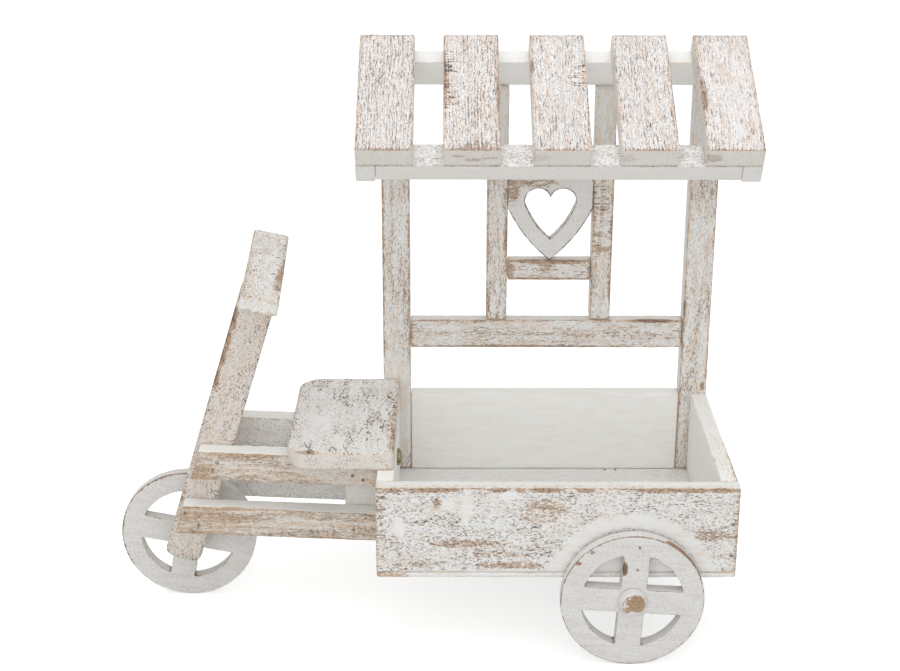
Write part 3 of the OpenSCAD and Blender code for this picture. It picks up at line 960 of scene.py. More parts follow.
        # Painted shade and light: the unbrushed sides take the side colour
        if self.side:
            coat = s.mix(s.spread(brushed, 0.2, 0.8), self.side, coat)
        colour = s.mix(s.spread(bare, *PAINT_ENDS), coat, wood)
        colour = s.mix(grit, colour, GRIT_TONE, "MULTIPLY")
        # Lays on the dark lines, with the painted shadow at the smudges' rims
        colour = s.mix(shade, colour, self.dark)
        cover = s.spread(bare, 0.44, 0.6, 1.0, 0.0)
        height = s.math("ADD", s.math("MULTIPLY", cover, 0.6), s.math("MULTIPLY", grit, -0.5))
        height = s.math("ADD", height, s.math("MULTIPLY", shade, -0.6))
        rough = s.spread(cover, 0.0, 1.0, WOOD_ROUGHNESS, PAINT_ROUGHNESS, smooth=False)
        return s.finish(colour, rough, height, self.relief, sheen=0.3)


@dataclass(frozen=True)
class Metal:
    """A small metal piece, dulled and a little scratched."""

    bright: Colour
    dull: Colour
    roughness: float = 0.4

    def material(self, name: str, place: Place, seed: int) -> bpy.types.Material:
        """Builds the finish, with the same arguments as a board's.

        Args:
            name: Name of the material.
            place: Where the piece lies.
            seed: Which stretch of the patterns it takes.

        Returns:
            The material.
        """
        s = Sketch.named(name)
        own = s.own_place(place, seed)
        cloud = s.noise(own, (3.0, 3.0, 3.0), 4.0, 0.65)
        colour = s.mix(s.spread(cloud, 0.38, 0.66), self.bright, self.dull)
        rough = s.spread(cloud, 0.3, 0.7, self.roughness, self.roughness + 0.25)
        return s.finish(colour, rough, cloud, 0.05, metal=1.0)


@dataclass(frozen=True)
class OldNail:
    """A nail's head that was painted with the boards, with patches worn dark on some heads."""

    paint: Colour = srgb(222, 218, 212)
    rust: Colour = srgb(82, 68, 58)
    shown: float = 0.5

    def material(self, name: str, place: Place, seed: int) -> bpy.types.Material:
        """Builds the finish, with the same arguments as a board's.

        Args:
            name: Name of the material.
            place: Where the piece lies.
            seed: Which stretch of the patterns it takes.

        Returns:
            The material.
        """
        s = Sketch.named(name)
        own = s.own_place(place, seed)
        cloud = s.noise(own, (1.2, 1.2, 1.2), 3.0, 0.6)
        island = s.node("ShaderNodeNewGeometry").outputs["Random Per Island"]
        cover = s.math("ADD", s.math("MULTIPLY", cloud, 0.5), s.math("MULTIPLY", island, 0.5))
        colour = s.mix(s.spread(cover, 1.0 - self.shown - 0.1, 1.0 - self.shown + 0.1), self.paint, self.rust)
        return s.finish(colour, 0.7, cloud, 0.08)


# Pieces


def aligned(node: str, grain: Axis) -> tuple[Place, Triple]:
    """Gives the place and the size of a square-cut piece from its solid.

    Args:
        node: Name of the solid.
        grain: Direction of the grain.

    Returns:
        The place, and the size in millimetres along the own axes.
    """
    low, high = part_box(node)
    span = grain.value.transposed() @ ((high - low) / MM)
    return Place((low + high) / 2 / MM, grain.value), tuple(abs(c) for c in span)


@dataclass
class Board:
    """A board that was planed, painted, brushed and sanded, with its grain along its own x."""

    node: str
    place: Place
    size: Triple
    wash: Whitewash
    seed: int
    slot: str = "whitewash_posts"
    body: str = "frame"
    cuts: tuple[Cut, ...] = ()
    marks: tuple[Mark, ...] = ()
    sawn: tuple[Mark, ...] = ()
    brushed: Brushed = field(default_factory=dict)
    ease: float = 0.9
    cell: tuple[float, float] = (3.0, 1.2)
    chip: float = 0.9
    brush: float = 0.25
    sag: float = 0.25

    def blank(self) -> bpy.types.Object:
        """Saws the board to its outline.

        Returns:
            The blank.
        """
        deselect()
        bpy.ops.mesh.primitive_cube_add(
            size=1.0, location=self.place.middle * MM, rotation=self.place.axes.to_euler(),
            scale=Vector(self.size) * MM)
        piece = bpy.context.object
        settle(piece)
        for cut in self.cuts:
            cut_off(piece, here(*cut.point) * MM, Vector(cut.away))
        return piece

    def divide(self, piece: bpy.types.Object) -> None:
        """Gives the faces evenly spaced points, closer across the grain than along it.

        Args:
            piece: The mesh object.
        """
        along, across = self.cell
        for axis, step in ((0, along), (1, across), (2, across)):
            split_runs(piece, self.place.axes.col[axis], step, max(2.0, 1.5 * step))

    def wear(self, points: np.ndarray) -> np.ndarray:
        """How worn each point is."""
        return worn_by(points, self.marks)

    def make(self) -> bpy.types.Object:
        """Builds the board, wears it and dresses it.

        Returns:
            The finished piece, which stands for its solid.
        """
        piece = self.blank()
        piece.name = piece.data.name = f"worn_{self.node}"
        lines = sharp_lines(piece)
        ease_arrises(piece, self.ease)
        self.divide(piece)
        points = points_of(piece)
        distance = distance_to(points, lines)
        write_attribute(piece, "arris", distance)
        write_attribute(piece, "worn", self.wear(points))
        write_attribute(piece, "sawn", worn_by(points, self.sawn))
        share = brushing(piece, self.place, self.brushed)
        write_attribute(piece, "brushed", share)
        group_points(piece, "arris", np.clip(1.0 - distance / CHIP_REACH, 0.0, 1.0))
        group_points(piece, "brushed", share)
        if self.sag:
            carve(piece, self.place, SAG_GRAIN, self.sag, self.seed, detail=1)
        if self.brush and self.brushed:
            carve(piece, self.place, BRUSH_GRAIN, self.brush, self.seed + 1, group="brushed")
        if self.chip:
            carve(piece, self.place, CHIP_GRAIN, self.chip, self.seed + 2, group="arris")
        piece.vertex_groups.clear()
        choose(piece)
        bpy.ops.object.shade_smooth_by_angle(angle=SMOOTH_TURN)
        piece.data.materials.append(self.wash.material(f"{self.node}_finish", self.place, self.seed))
        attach(piece, self.body)
        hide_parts(self.node)
        log.info("%s: %d points", piece.name, len(piece.data.vertices))
        return piece


@dataclass(frozen=True)
class Corner:
    """A rounded corner of a board: the own axis it runs along, its side on the other two, its radius."""

    along: int
    sides: tuple[int, int]
    radius: float


@dataclass
class RoundedBoard(Board):
    """A board with sawn round corners."""

    corners: tuple[Corner, ...] = ()

    def blank(self) -> bpy.types.Object:
        """Saws the board to its outline and rounds its corners.

        Returns:
            The blank.
        """
        piece = super().blank()
        inverse = self.place.matrix().inverted()
        for corner in self.corners:
            first, second = [i for i in range(3) if i != corner.along]

            def wanted(edge: bmesh.types.BMEdge) -> bool:
                """Picks the edge of this corner.

                Args:
                    edge: An edge.

                Returns:
                    Whether it is picked.
                """
                run = edge.verts[1].co - edge.verts[0].co
                middle = inverse @ ((edge.verts[0].co + edge.verts[1].co) / 2)
                sides = (middle[first] * corner.sides[0], middle[second] * corner.sides[1])
                halves = (self.size[first] * MM / 2, self.size[second] * MM / 2)
                along = abs(run.normalized().dot(self.place.axes.col[corner.along])) > 0.99
                return along and all(side > half * 0.98 for side, half in zip(sides, halves))

            if select_edges(piece, wanted):
                bpy.ops.mesh.bevel(offset=corner.radius * MM, offset_type="OFFSET",
                                   segments=max(4, round(corner.radius * 0.6)), profile=0.5, affect="EDGES")
            close()
        return piece

    def divide(self, piece: bpy.types.Object) -> None:
        """Scores the faces, because they have more than four corners.

        Args:
            piece: The mesh object.
        """
        along, across = self.cell
        for axis, step in ((0, along), (1, across), (2, across * 1.5)):
            score(piece, self.place, axis, self.size[axis] / 2, step)


def cylinder(middle: Vector, axes: Matrix, radius: float, depth: float, sides: int,
             end_radius: float | None = None) -> bpy.types.Object:
    """Adds a round blank whose axis is the third of its own axes.

    Args:
        middle: Its middle, in metres.
        axes: Its own axes.
        radius: Radius in millimetres.
        depth: Length in millimetres.
        sides: Number of its sides.
        end_radius: Radius of its far end, if it tapers.

    Returns:
        The blank, with its place in its mesh.
    """
    deselect()
    bpy.ops.mesh.primitive_cone_add(
        vertices=sides, radius1=radius * MM, radius2=(radius if end_radius is None else end_radius) * MM,
        depth=depth * MM, location=middle, rotation=axes.to_euler())
    piece = bpy.context.object
    settle(piece)
    return piece


def combine(piece: bpy.types.Object, other: bpy.types.Object, work: Work) -> None:
    """Joins, cuts or overlaps a piece with another, which is then used up.

    Args:
        piece: The piece that stays.
        other: The piece that works on it.
        work: How it works on it.
    """
    choose(piece)
    saw = piece.modifiers.new("saw", "BOOLEAN")
    saw.operation = work.value
    saw.solver = "EXACT"
    saw.object = other
    bpy.ops.object.modifier_apply(modifier=saw.name)
    bpy.data.objects.remove(other)


def clean(piece: bpy.types.Object, least: float = 0.25) -> None:
    """Merges points that lie closer than the least distance, in millimetres.

    Args:
        piece: The mesh object.
        least: The distance.
    """
    edit(piece, Pick.POINTS)
    bpy.ops.mesh.select_all(action="SELECT")
    bpy.ops.mesh.remove_doubles(threshold=least * MM)
    close()


@dataclass
class SpokedWheel(RoundedBoard):
    """A wheel that is sawn from one disc, with four openings between its spokes."""

    radius: float = 60.0
    rim: float = 17.5
    spoke: float = 22.0
    bore: float = 6.12
    corner: float = 1.6
    outward: float = 1.0
    rubbed_arc: tuple[float, float] = (-10.0, 370.0)
    bare_arc: tuple[float, float] = (0.0, 0.0)

    def blank(self) -> bpy.types.Object:
        """Saws the disc, its four openings and its bore.

        Returns:
            The blank.
        """
        middle, axes, thick = self.place.middle * MM, self.place.axes, self.size[2]
        disc = cylinder(middle, axes, self.radius, thick, DISC_SIDES)
        for quarter in range(4):
            turned = axes @ Matrix.Rotation(math.radians(90 * quarter), 3, "Z")
            opening = cylinder(middle, turned, self.radius - self.rim, 2 * thick, OPENING_SIDES)
            half = self.spoke / 2
            for axis in (0, 1):
                off = [0.0, 0.0, 0.0]
                off[axis] = half
                point = middle + turned @ Vector(off) * MM
                cut_off(opening, point, -turned.col[axis])
            along = turned.col[2]
            if select_edges(opening, lambda e: is_sharp(e) and abs(
                    (e.verts[1].co - e.verts[0].co).normalized().dot(along)) > 0.99):
                bpy.ops.mesh.bevel(offset=self.corner * MM, segments=4, profile=0.5, affect="EDGES")
            close()
            combine(disc, opening, Work.CUT)
        combine(disc, cylinder(middle, axes, self.bore / 2, 2 * thick, BORE_SIDES), Work.CUT)
        clean(disc, 0.1)
        return disc

    def wear(self, points: np.ndarray) -> np.ndarray:
        """Adds the rubbed outward arris and the bare stretch of tread to the marks.

        Args:
            points: The points, in metres.

        Returns:
            The wear of each point.
        """
        off_middle = points / MM - np.array(self.place.middle)
        own = off_middle @ np.array(self.place.axes)
        inward = self.radius - np.hypot(own[:, 0], own[:, 1])
        inside = self.size[2] / 2 - self.outward * own[:, 2]
        angle = np.degrees(np.arctan2(off_middle[:, 2], off_middle[:, 0])) % 360.0

        def along(arc: tuple[float, float]) -> np.ndarray:
            """1 between the angles of an arc, in degrees, and 0 away from it."""
            start, end = (angle - arc[0]) / ARC_FADE, (arc[1] - angle) / ARC_FADE
            return np.clip(start, 0.0, 1.0) * np.clip(end, 0.0, 1.0)

        from_arris = np.hypot(inward, inside)
        rubbed = ARRIS_WEAR * np.clip(1.25 - from_arris / 0.5, 0.0, 1.0) * along(self.rubbed_arc)
        bare = TREAD_WEAR * along(self.bare_arc) * np.clip((0.5 - inward) / 0.2, 0.0, 1.0) * np.clip(
            (0.62 * self.size[2] - inside) / 1.5, 0.0, 1.0)
        return np.maximum(np.maximum(rubbed, bare), super().wear(points))


@dataclass
class HeartPlaque(RoundedBoard):
    """A plywood heart with a heart-shaped cut-out, trimmed flush between the uprights."""

    lobe_half: float = 11.2
    trim: float = 2.6
    lift: float = 5.5
    border: float = 14.8
    side: float = 131.0
    cut_side: float = 80.0
    rise: float = 55.0
    tip: float = 19.5
    centre: Vector = field(default_factory=Vector)

    def bodies(self, lobe: float, side: float, rise: float, lift: float,
               depth: float) -> list[bpy.types.Object]:
        """Makes a heart's parts: the lens between two large arcs, two lobes, and a plug between them.

        Args:
            lobe: Radius of the lobes.
            side: Radius of the side arcs.
            rise: Height of the lobes' centres above the tip.
            lift: Height of the lobes' centres above those of the cut-out.
            depth: Thickness.

        Returns:
            The four parts, which overlap.
        """
        axes, half = self.place.axes, self.lobe_half
        reach, span = side - lobe, math.hypot(half, rise)
        turn = math.acos((span ** 2 + reach ** 2 - side ** 2) / (2 * reach * span)) - math.atan2(rise, half)
        across, up = -half + reach * math.cos(turn), reach * math.sin(turn)

        def at(x: float, y: float) -> Vector:
            """A point on the plaque's middle plane, in metres."""
            return (self.centre + axes @ Vector((x, y + lift, 0.0))) * MM

        lens = cylinder(at(across, up), axes, side, depth, ARC_SIDES)
        combine(lens, cylinder(at(-across, up), axes, side, depth * 2, ARC_SIDES), Work.OVERLAP)
        top = -lobe * math.sin(turn)
        cut_off(lens, at(0.0, top), axes.col[1])
        return [lens, *(cylinder(at(x, y), axes, radius, depth, LOBE_SIDES)
                        for x, y, radius in ((-half, 0.0, lobe), (half, 0.0, lobe), (0.0, top, lobe / 3)))]

    def blank(self) -> bpy.types.Object:
        """Saws the plaque and its cut-out.

        Returns:
            The blank.
        """
        thick = self.size[2]
        lobe = self.size[0] / 2 - self.lobe_half
        plaque, *lobes = self.bodies(lobe + self.trim, self.side, self.rise + self.lift, self.lift, thick)
        for body in lobes:
            combine(plaque, body, Work.JOIN)
        for way in (-1.0, 1.0):
            away = way * self.place.axes.col[0]
            cut_off(plaque, self.centre * MM + away * (self.size[0] / 2 * MM), away)
        for body in self.bodies(lobe - self.border, self.cut_side, self.rise - self.tip, 0.0, 2 * thick):
            combine(plaque, body, Work.CUT)
        clean(plaque, 0.3)
        return plaque


@dataclass
class HubCap(RoundedBoard):
    """A turned wooden cap on the end of the rear axle."""

    wide: float = 12.75
    narrow: float = 9.0

    def blank(self) -> bpy.types.Object:
        """Turns the cap."""
        return cylinder(self.place.middle * MM, self.place.axes, self.wide, self.size[2], CAP_SIDES,
                        self.narrow)


# Finishes of the planter's parts

BOX_FACE = Whitewash(smudge=(3.6, 1.25), smudge_gain=0.85, patch=(26.0, 9.0), patch_gain=0.06,
                     ring_gain=0.05, grit_gain=0.3, pore=(3.0, 1.0), pores=0.9, scarce=0.605, clump=0.4,
                     cracks=0.95, bare=0.335, cream=2.5, tint=0.35)
# Painted light: the inner walls get whiter paint than the outer face, standing in for the light that fills the
# box
INNER_FACE_PAINTED_LIGHT = Whitewash(paint=srgb(249, 249, 246), grit_gain=0.4, pores=0.3, cracks=0.4, cream=1.0)
SMOOTH = Whitewash(paint=srgb(231, 230, 227), smudge=(14.0, 2.4), smudge_gain=0.5, ring_gain=0.0, bare=0.34,
                   arris=0.5, arris_gain=0.3, cream=0.8, tint=0.3, relief=0.12)
POST = Whitewash(paint=srgb(239, 238, 235), smudge=(9.0, 1.0), ring_gap=4.0, patch=(40.0, 7.0), bare=0.35,
                 grit_gain=0.42, pores=0.7, scarce=0.62, clump=0.4, nibbled=0.05, rim=0.5, cracks=0.5,
                 tint=0.6, arris=1.7, arris_gain=0.4, cream=2.5)
# The slats' unbrushed sides and ends take a darker side colour: painted shade
SLAT = Whitewash(paint=srgb(247, 245, 244), veil=srgb(238, 217, 200), tan=srgb(213, 187, 168),
                 smudge=(11.0, 0.65), smudge_gain=0.75, ring_gap=2.4, ring_gain=0.14, patch=(50.0, 14.0),
                 patch_gain=0.05, grit=(2.2, 0.6), grit_gain=0.78, pore=(7.5, 0.55), pores=0.95,
                 scarce=0.612, clump=0.15, ringed=0.1, stain=(34.0, 2.6), nibbled=0.03, cracks=0.3,
                 bare=0.36, tint=0.7, arris=1.0, arris_gain=0.25, cream=3.5, side=srgb(230, 226, 218))
FORK = Whitewash(paint=srgb(228, 222, 215), smudge=(5.0, 1.1), patch=(24.0, 12.0), bare=0.3, tint=0.65,
                 grit_gain=0.5, pore=(2.2, 1.1), pores=0.9, scarce=0.65, clump=0.3, nibbled=0.09, cracks=0.6,
                 cream=1.5)
BAR = replace(FORK, paint=srgb(240, 239, 236), bare=0.29, tint=0.6, grit_gain=0.4, scarce=0.63, cream=3.0)
# Painted light: the far rails, in the near rails' shade, get near-white paint, brighter than the near rails'
FAR_RAIL_PAINTED_LIGHT = replace(FORK, paint=srgb(250, 249, 246), tint=0.4, bare=0.29, pores=0.8, scarce=0.61,
                   grit_gain=0.55, cream=1.0)
# The roof rail's unbrushed sides under the slats take a darker side colour: painted shade
ROOF_RAIL = replace(FORK, paint=srgb(247, 247, 245), veil=srgb(234, 228, 220), smudge=(7.0, 0.9), bare=0.25,
                    arris=0.5, grit_gain=0.7, tint=0.3, pore=(4.0, 0.8), pores=0.6, scarce=0.6, nibbled=0.02,
                    cream=0.8, side=srgb(230, 228, 223))
# Painted light: the back roof rail, in the slats' shade, gets near-white paint
BACK_RAIL_PAINTED_LIGHT = replace(SMOOTH, paint=srgb(250, 250, 248))
# The near rails' top, and half-way their other unbrushed sides, take a lighter side colour: painted light
RAIL = Whitewash(paint=srgb(231, 226, 219), veil=srgb(223, 204, 185), tan=srgb(214, 186, 158),
                 brown=srgb(184, 154, 128), smudge=(9.0, 0.9), smudge_gain=0.72, patch=(70.0, 10.0),
                 bare=0.41, tint=1.0, grit_gain=0.45, pores=0.6, clump=0.6, cracks=0.5,
                 side=srgb(245, 244, 241))
# The seat's unbrushed edges take a darker beige side colour: partly the lip's own beige, partly painted shade
SEAT = Whitewash(smudge=(5.0, 1.2), patch=(40.0, 11.0), bare=0.31, tint=0.4, grit_gain=0.4,
                 pore=(3.8, 1.5), pores=0.95, scarce=0.595, clump=0.75, nibbled=0.0, cracks=0.8,
                 cream=3.0, side=srgb(222, 214, 203))
WHEEL = Whitewash(paint=srgb(228, 227, 224), veil=srgb(212, 205, 196), tan=srgb(172, 145, 124),
                  brown=srgb(124, 104, 90), smudge=(14.0, 3.0), smudge_gain=0.3, ring_gain=0.0,
                  bare=0.28, arris=0.7, arris_gain=0.7, cream=0.0, tint=0.9, grit=(2.0, 1.3),
                  grit_gain=0.8, pores=0.3, scarce=0.64, cracks=0.3, rim=0.4, relief=0.1)
CAP = replace(WHEEL, tan=srgb(184, 157, 128), brown=srgb(140, 116, 94), smudge=(2.6, 2.6), smudge_gain=0.8)
PLAQUE = replace(WHEEL, paint=srgb(230, 229, 226), tan=srgb(190, 165, 141), brown=srgb(112, 100, 91),
                 smudge=(7.0, 3.0), smudge_gain=0.6, arris=0.6, arris_gain=1.4, tint=0.7)
STEEL = Metal(srgb(176, 176, 172), srgb(120, 118, 112))
BRASS = Metal(srgb(176, 168, 132), srgb(122, 116, 88), 0.4)


# Sub-assemblies


@dataclass
class PlantingBox:
    """The box: a floor board under a front wall, two end walls, and a back wall between the posts."""

    slot: str = "whitewash_box"

    def front_marks(self) -> tuple[Mark, ...]:
        """The front wall's cream rim, its brown arris stretches, its tan patches and its whole paint.

        Returns:
            The marks.
        """
        arris = ((47.0, 26.0, 0.5), (15.0, 8.0, 0.35), (101.0, 10.0, 0.45), (119.0, 6.0, 0.45),
                 (140.0, 17.0, 0.55), (172.0, 10.0, 0.35), (232.0, 22.0, 0.5), (262.0, 18.0, 0.4),
                 (284.0, 16.0, 0.5))
        patches = ((140.0, 137.0, 30.0, 14.0, 0.14), (52.0, 143.0, 6.0, 8.0, 0.2),
                   (74.0, 106.0, 36.0, 6.0, 0.16), (115.0, 86.0, 36.0, 5.0, 0.18),
                   (2.0, 118.0, 8.0, 50.0, 0.1), (280.0, 114.0, 26.0, 6.0, 0.15),
                   (96.0, 96.0, 40.0, 4.0, 0.12), (30.0, 88.0, 34.0, 5.0, 0.12),
                   (299.0, 118.0, 4.0, 60.0, 0.12))
        whole = ((61.0, 141.0, 9.0, 6.0), (75.0, 139.0, 7.0, 20.0), (20.0, 119.0, 6.0, 14.0),
                 (213.0, 90.0, 66.0, 30.0), (110.0, 150.0, 12.0, 5.0), (120.0, 78.0, 190.0, 5.0))
        round_wheel = ((213.0 + 67.0 * math.cos(a), 60.0 + 67.0 * math.sin(a), 10.0, 10.0)
                       for a in (math.radians(10.0 * i) for i in range(2, 17)))
        return (Mark((150.0, 3.0, 157.6), (340.0, 7.0, 1.8), 0.23),
                *(Mark((x, 0.0, 155.5), (long, 2.2, 3.4), depth) for x, long, depth in arris),
                *(Mark((x, 0.0, z), (long, 4.0, high), depth) for x, z, long, high, depth in patches),
                *(Mark((x, 0.0, z), (long, 3.0, high), -0.45) for x, z, long, high in (*whole, *round_wheel)))

    def build(self) -> None:
        """Builds the five boards."""
        rim = (Mark((292.5, 60.0, 157.0), (11.0, 80.0, 4.0), 0.16),
               Mark((300.0, 30.0, 157.0), (4.0, 60.0, 4.0), 0.4))
        front = {Side.FRONT: 1.0, Side.TOP: 0.25, Side.NEAR_END: 0.5, Side.FAR_END: 0.5}
        for seed, (node, grain, wash, cell, brushed, marks) in enumerate((
                ("box_front_wall", Axis.X, BOX_FACE, (3.0, 1.2), front, self.front_marks()),
                ("box_back_wall", Axis.X, INNER_FACE_PAINTED_LIGHT, (5.0, 2.0), {Side.BACK: 1.0}, ()),
                ("box_left_wall", Axis.Y, INNER_FACE_PAINTED_LIGHT, (4.0, 2.0), {Side.BACK: 1.0}, ()),
                ("box_right_wall", Axis.Y, INNER_FACE_PAINTED_LIGHT, (4.0, 2.0), {Side.FRONT: 1.0, Side.TOP: 0.25}, rim),
                ("box_floor", Axis.X, replace(BOX_FACE, cream=1.2), (5.0, 2.0), evenly(0.3),
                 (Mark((6.0, 0.0, 77.0), (30.0, 6.0, 6.0), 0.33),)))):
            place, size = aligned(node, grain)
            corners = (Corner(1, (-1, -1), 3.0), Corner(1, (1, -1), 2.0)) if node == "box_floor" else ()
            kind = RoundedBoard if corners else Board
            extra = {"corners": corners} if corners else {}
            kind(node, place, size, wash, 11 + seed, slot=self.slot, cell=cell, brushed=brushed,
                 marks=marks, ease=0.5 if corners else 0.9, **extra).make()


@dataclass
class Canopy:
    """The two posts, the cross rail between them, and the heart in its frame under the roof."""

    heart_x: float = 151.0
    heart_z: float = 342.0

    def build(self) -> None:
        """Builds the posts, the rails and the heart."""
        slope = math.radians(ROOF_PITCH)
        under_roof = Cut((0.0, BACK_Y, POST_TOP), (0.0, -math.sin(slope), math.cos(slope)))
        for seed, node in enumerate(("left_post", "right_post", "heart_left_upright", "heart_right_upright")):
            place, size = aligned(node, Axis.Z)
            Board(node, place, size, POST, 21 + seed, cuts=(under_roof,), marks=self.knots(node),
                  sawn=self.scraped(node), brushed=evenly(0.5, front=1.0, back=1.0, far_end=0.8)).make()
        for seed, node in enumerate(("cross_rail", "heart_crossbar")):
            place, size = aligned(node, Axis.X)
            Board(node, place, size, POST, 31 + seed, brushed=evenly(0.4, front=1.0, back=1.0),
                  marks=self.knots(node)).make()
        self.heart()

    @staticmethod
    def knots(node: str) -> tuple[Mark, ...]:
        """The knots and the rubbed arrises of the canopy's sticks.

        Args:
            node: Name of the stick.

        Returns:
            Its marks.
        """
        marks = {
            "right_post": (Mark((295.6, 203.0, 165.0), (2.0, 4.0, 4.5), 0.7),
                           Mark((275.0, 203.0, 240.0), (2.0, 4.0, 10.0), 0.6),
                           Mark((285.0, 203.0, 426.0), (26.0, 6.0, 56.0), -0.3)),
            "left_post": (Mark((12.0, 203.0, 138.0), (26.0, 6.0, 66.0), -0.4),),
            "heart_left_upright": (Mark((103.0, 203.0, 424.0), (18.0, 6.0, 60.0), -0.3),
                                   Mark((113.0, 203.0, 307.0), (4.0, 4.0, 26.0), 0.35),
                                   Mark((112.0, 203.0, 376.0), (5.0, 4.0, 12.0), 0.25)),
            "heart_right_upright": (Mark((198.0, 203.0, 424.0), (18.0, 6.0, 60.0), -0.3),
                                    Mark((207.8, 203.0, 325.0), (2.5, 4.0, 90.0), 0.25),
                                    Mark((196.0, 203.0, 334.0), (14.0, 4.0, 4.0), 0.13),
                                    Mark((198.0, 203.0, 312.0), (16.0, 4.0, 3.0), 0.13),
                                    Mark((198.0, 203.0, 297.0), (14.0, 4.0, 5.0), 0.13)),
            "heart_crossbar": (Mark((150.0, 203.0, 286.5), (44.0, 3.0, 4.0), 0.55),
                               Mark((150.0, 203.0, 268.0), (44.0, 3.0, 3.5), 0.3),
                               Mark((116.0, 203.0, 277.0), (5.0, 4.0, 10.0), 0.3),
                               Mark((147.0, 203.0, 280.0), (7.0, 4.0, 8.0), 0.15)),
            "cross_rail": (Mark((130.0, 203.0, 202.0), (110.0, 4.0, 3.0), 0.4),
                           Mark((245.0, 203.0, 229.0), (26.0, 5.0, 3.0), 0.7)),
        }
        return marks.get(node, ())

    @staticmethod
    def scraped(node: str) -> tuple[Mark, ...]:
        """Where the right upright was scraped across its grain."""
        spot = Mark((198.0, 203.0, 322.0), (24.0, 6.0, 50.0), 0.75)
        return (spot,) if node == "heart_right_upright" else ()

    def heart(self) -> None:
        """Builds the plaque with its heart-shaped cut-out."""
        flat, _ = aligned("heart_plaque", Axis.X)
        low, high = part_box("heart_plaque")
        span = (high - low) / MM
        middle = flat.middle
        centre = here(self.heart_x, 0.0, self.heart_z)
        centre.y = middle.y
        place = Place(middle, Matrix.Rotation(math.radians(90), 3, "X"))
        HeartPlaque("heart_plaque", place, (span.x, span.z, span.y), PLAQUE, 35, centre=centre, ease=0.6,
                    cell=(2.0, 2.0), chip=0.5, brushed=evenly(0.2),
                    marks=(Mark((117.0, 203.5, 353.0), (11.0, 5.0, 22.0), 0.46),
                           Mark((134.0, 203.5, 361.0), (40.0, 5.0, 12.0), 0.43),
                           Mark((176.0, 203.5, 322.0), (5.0, 5.0, 9.0), 0.3))).make()


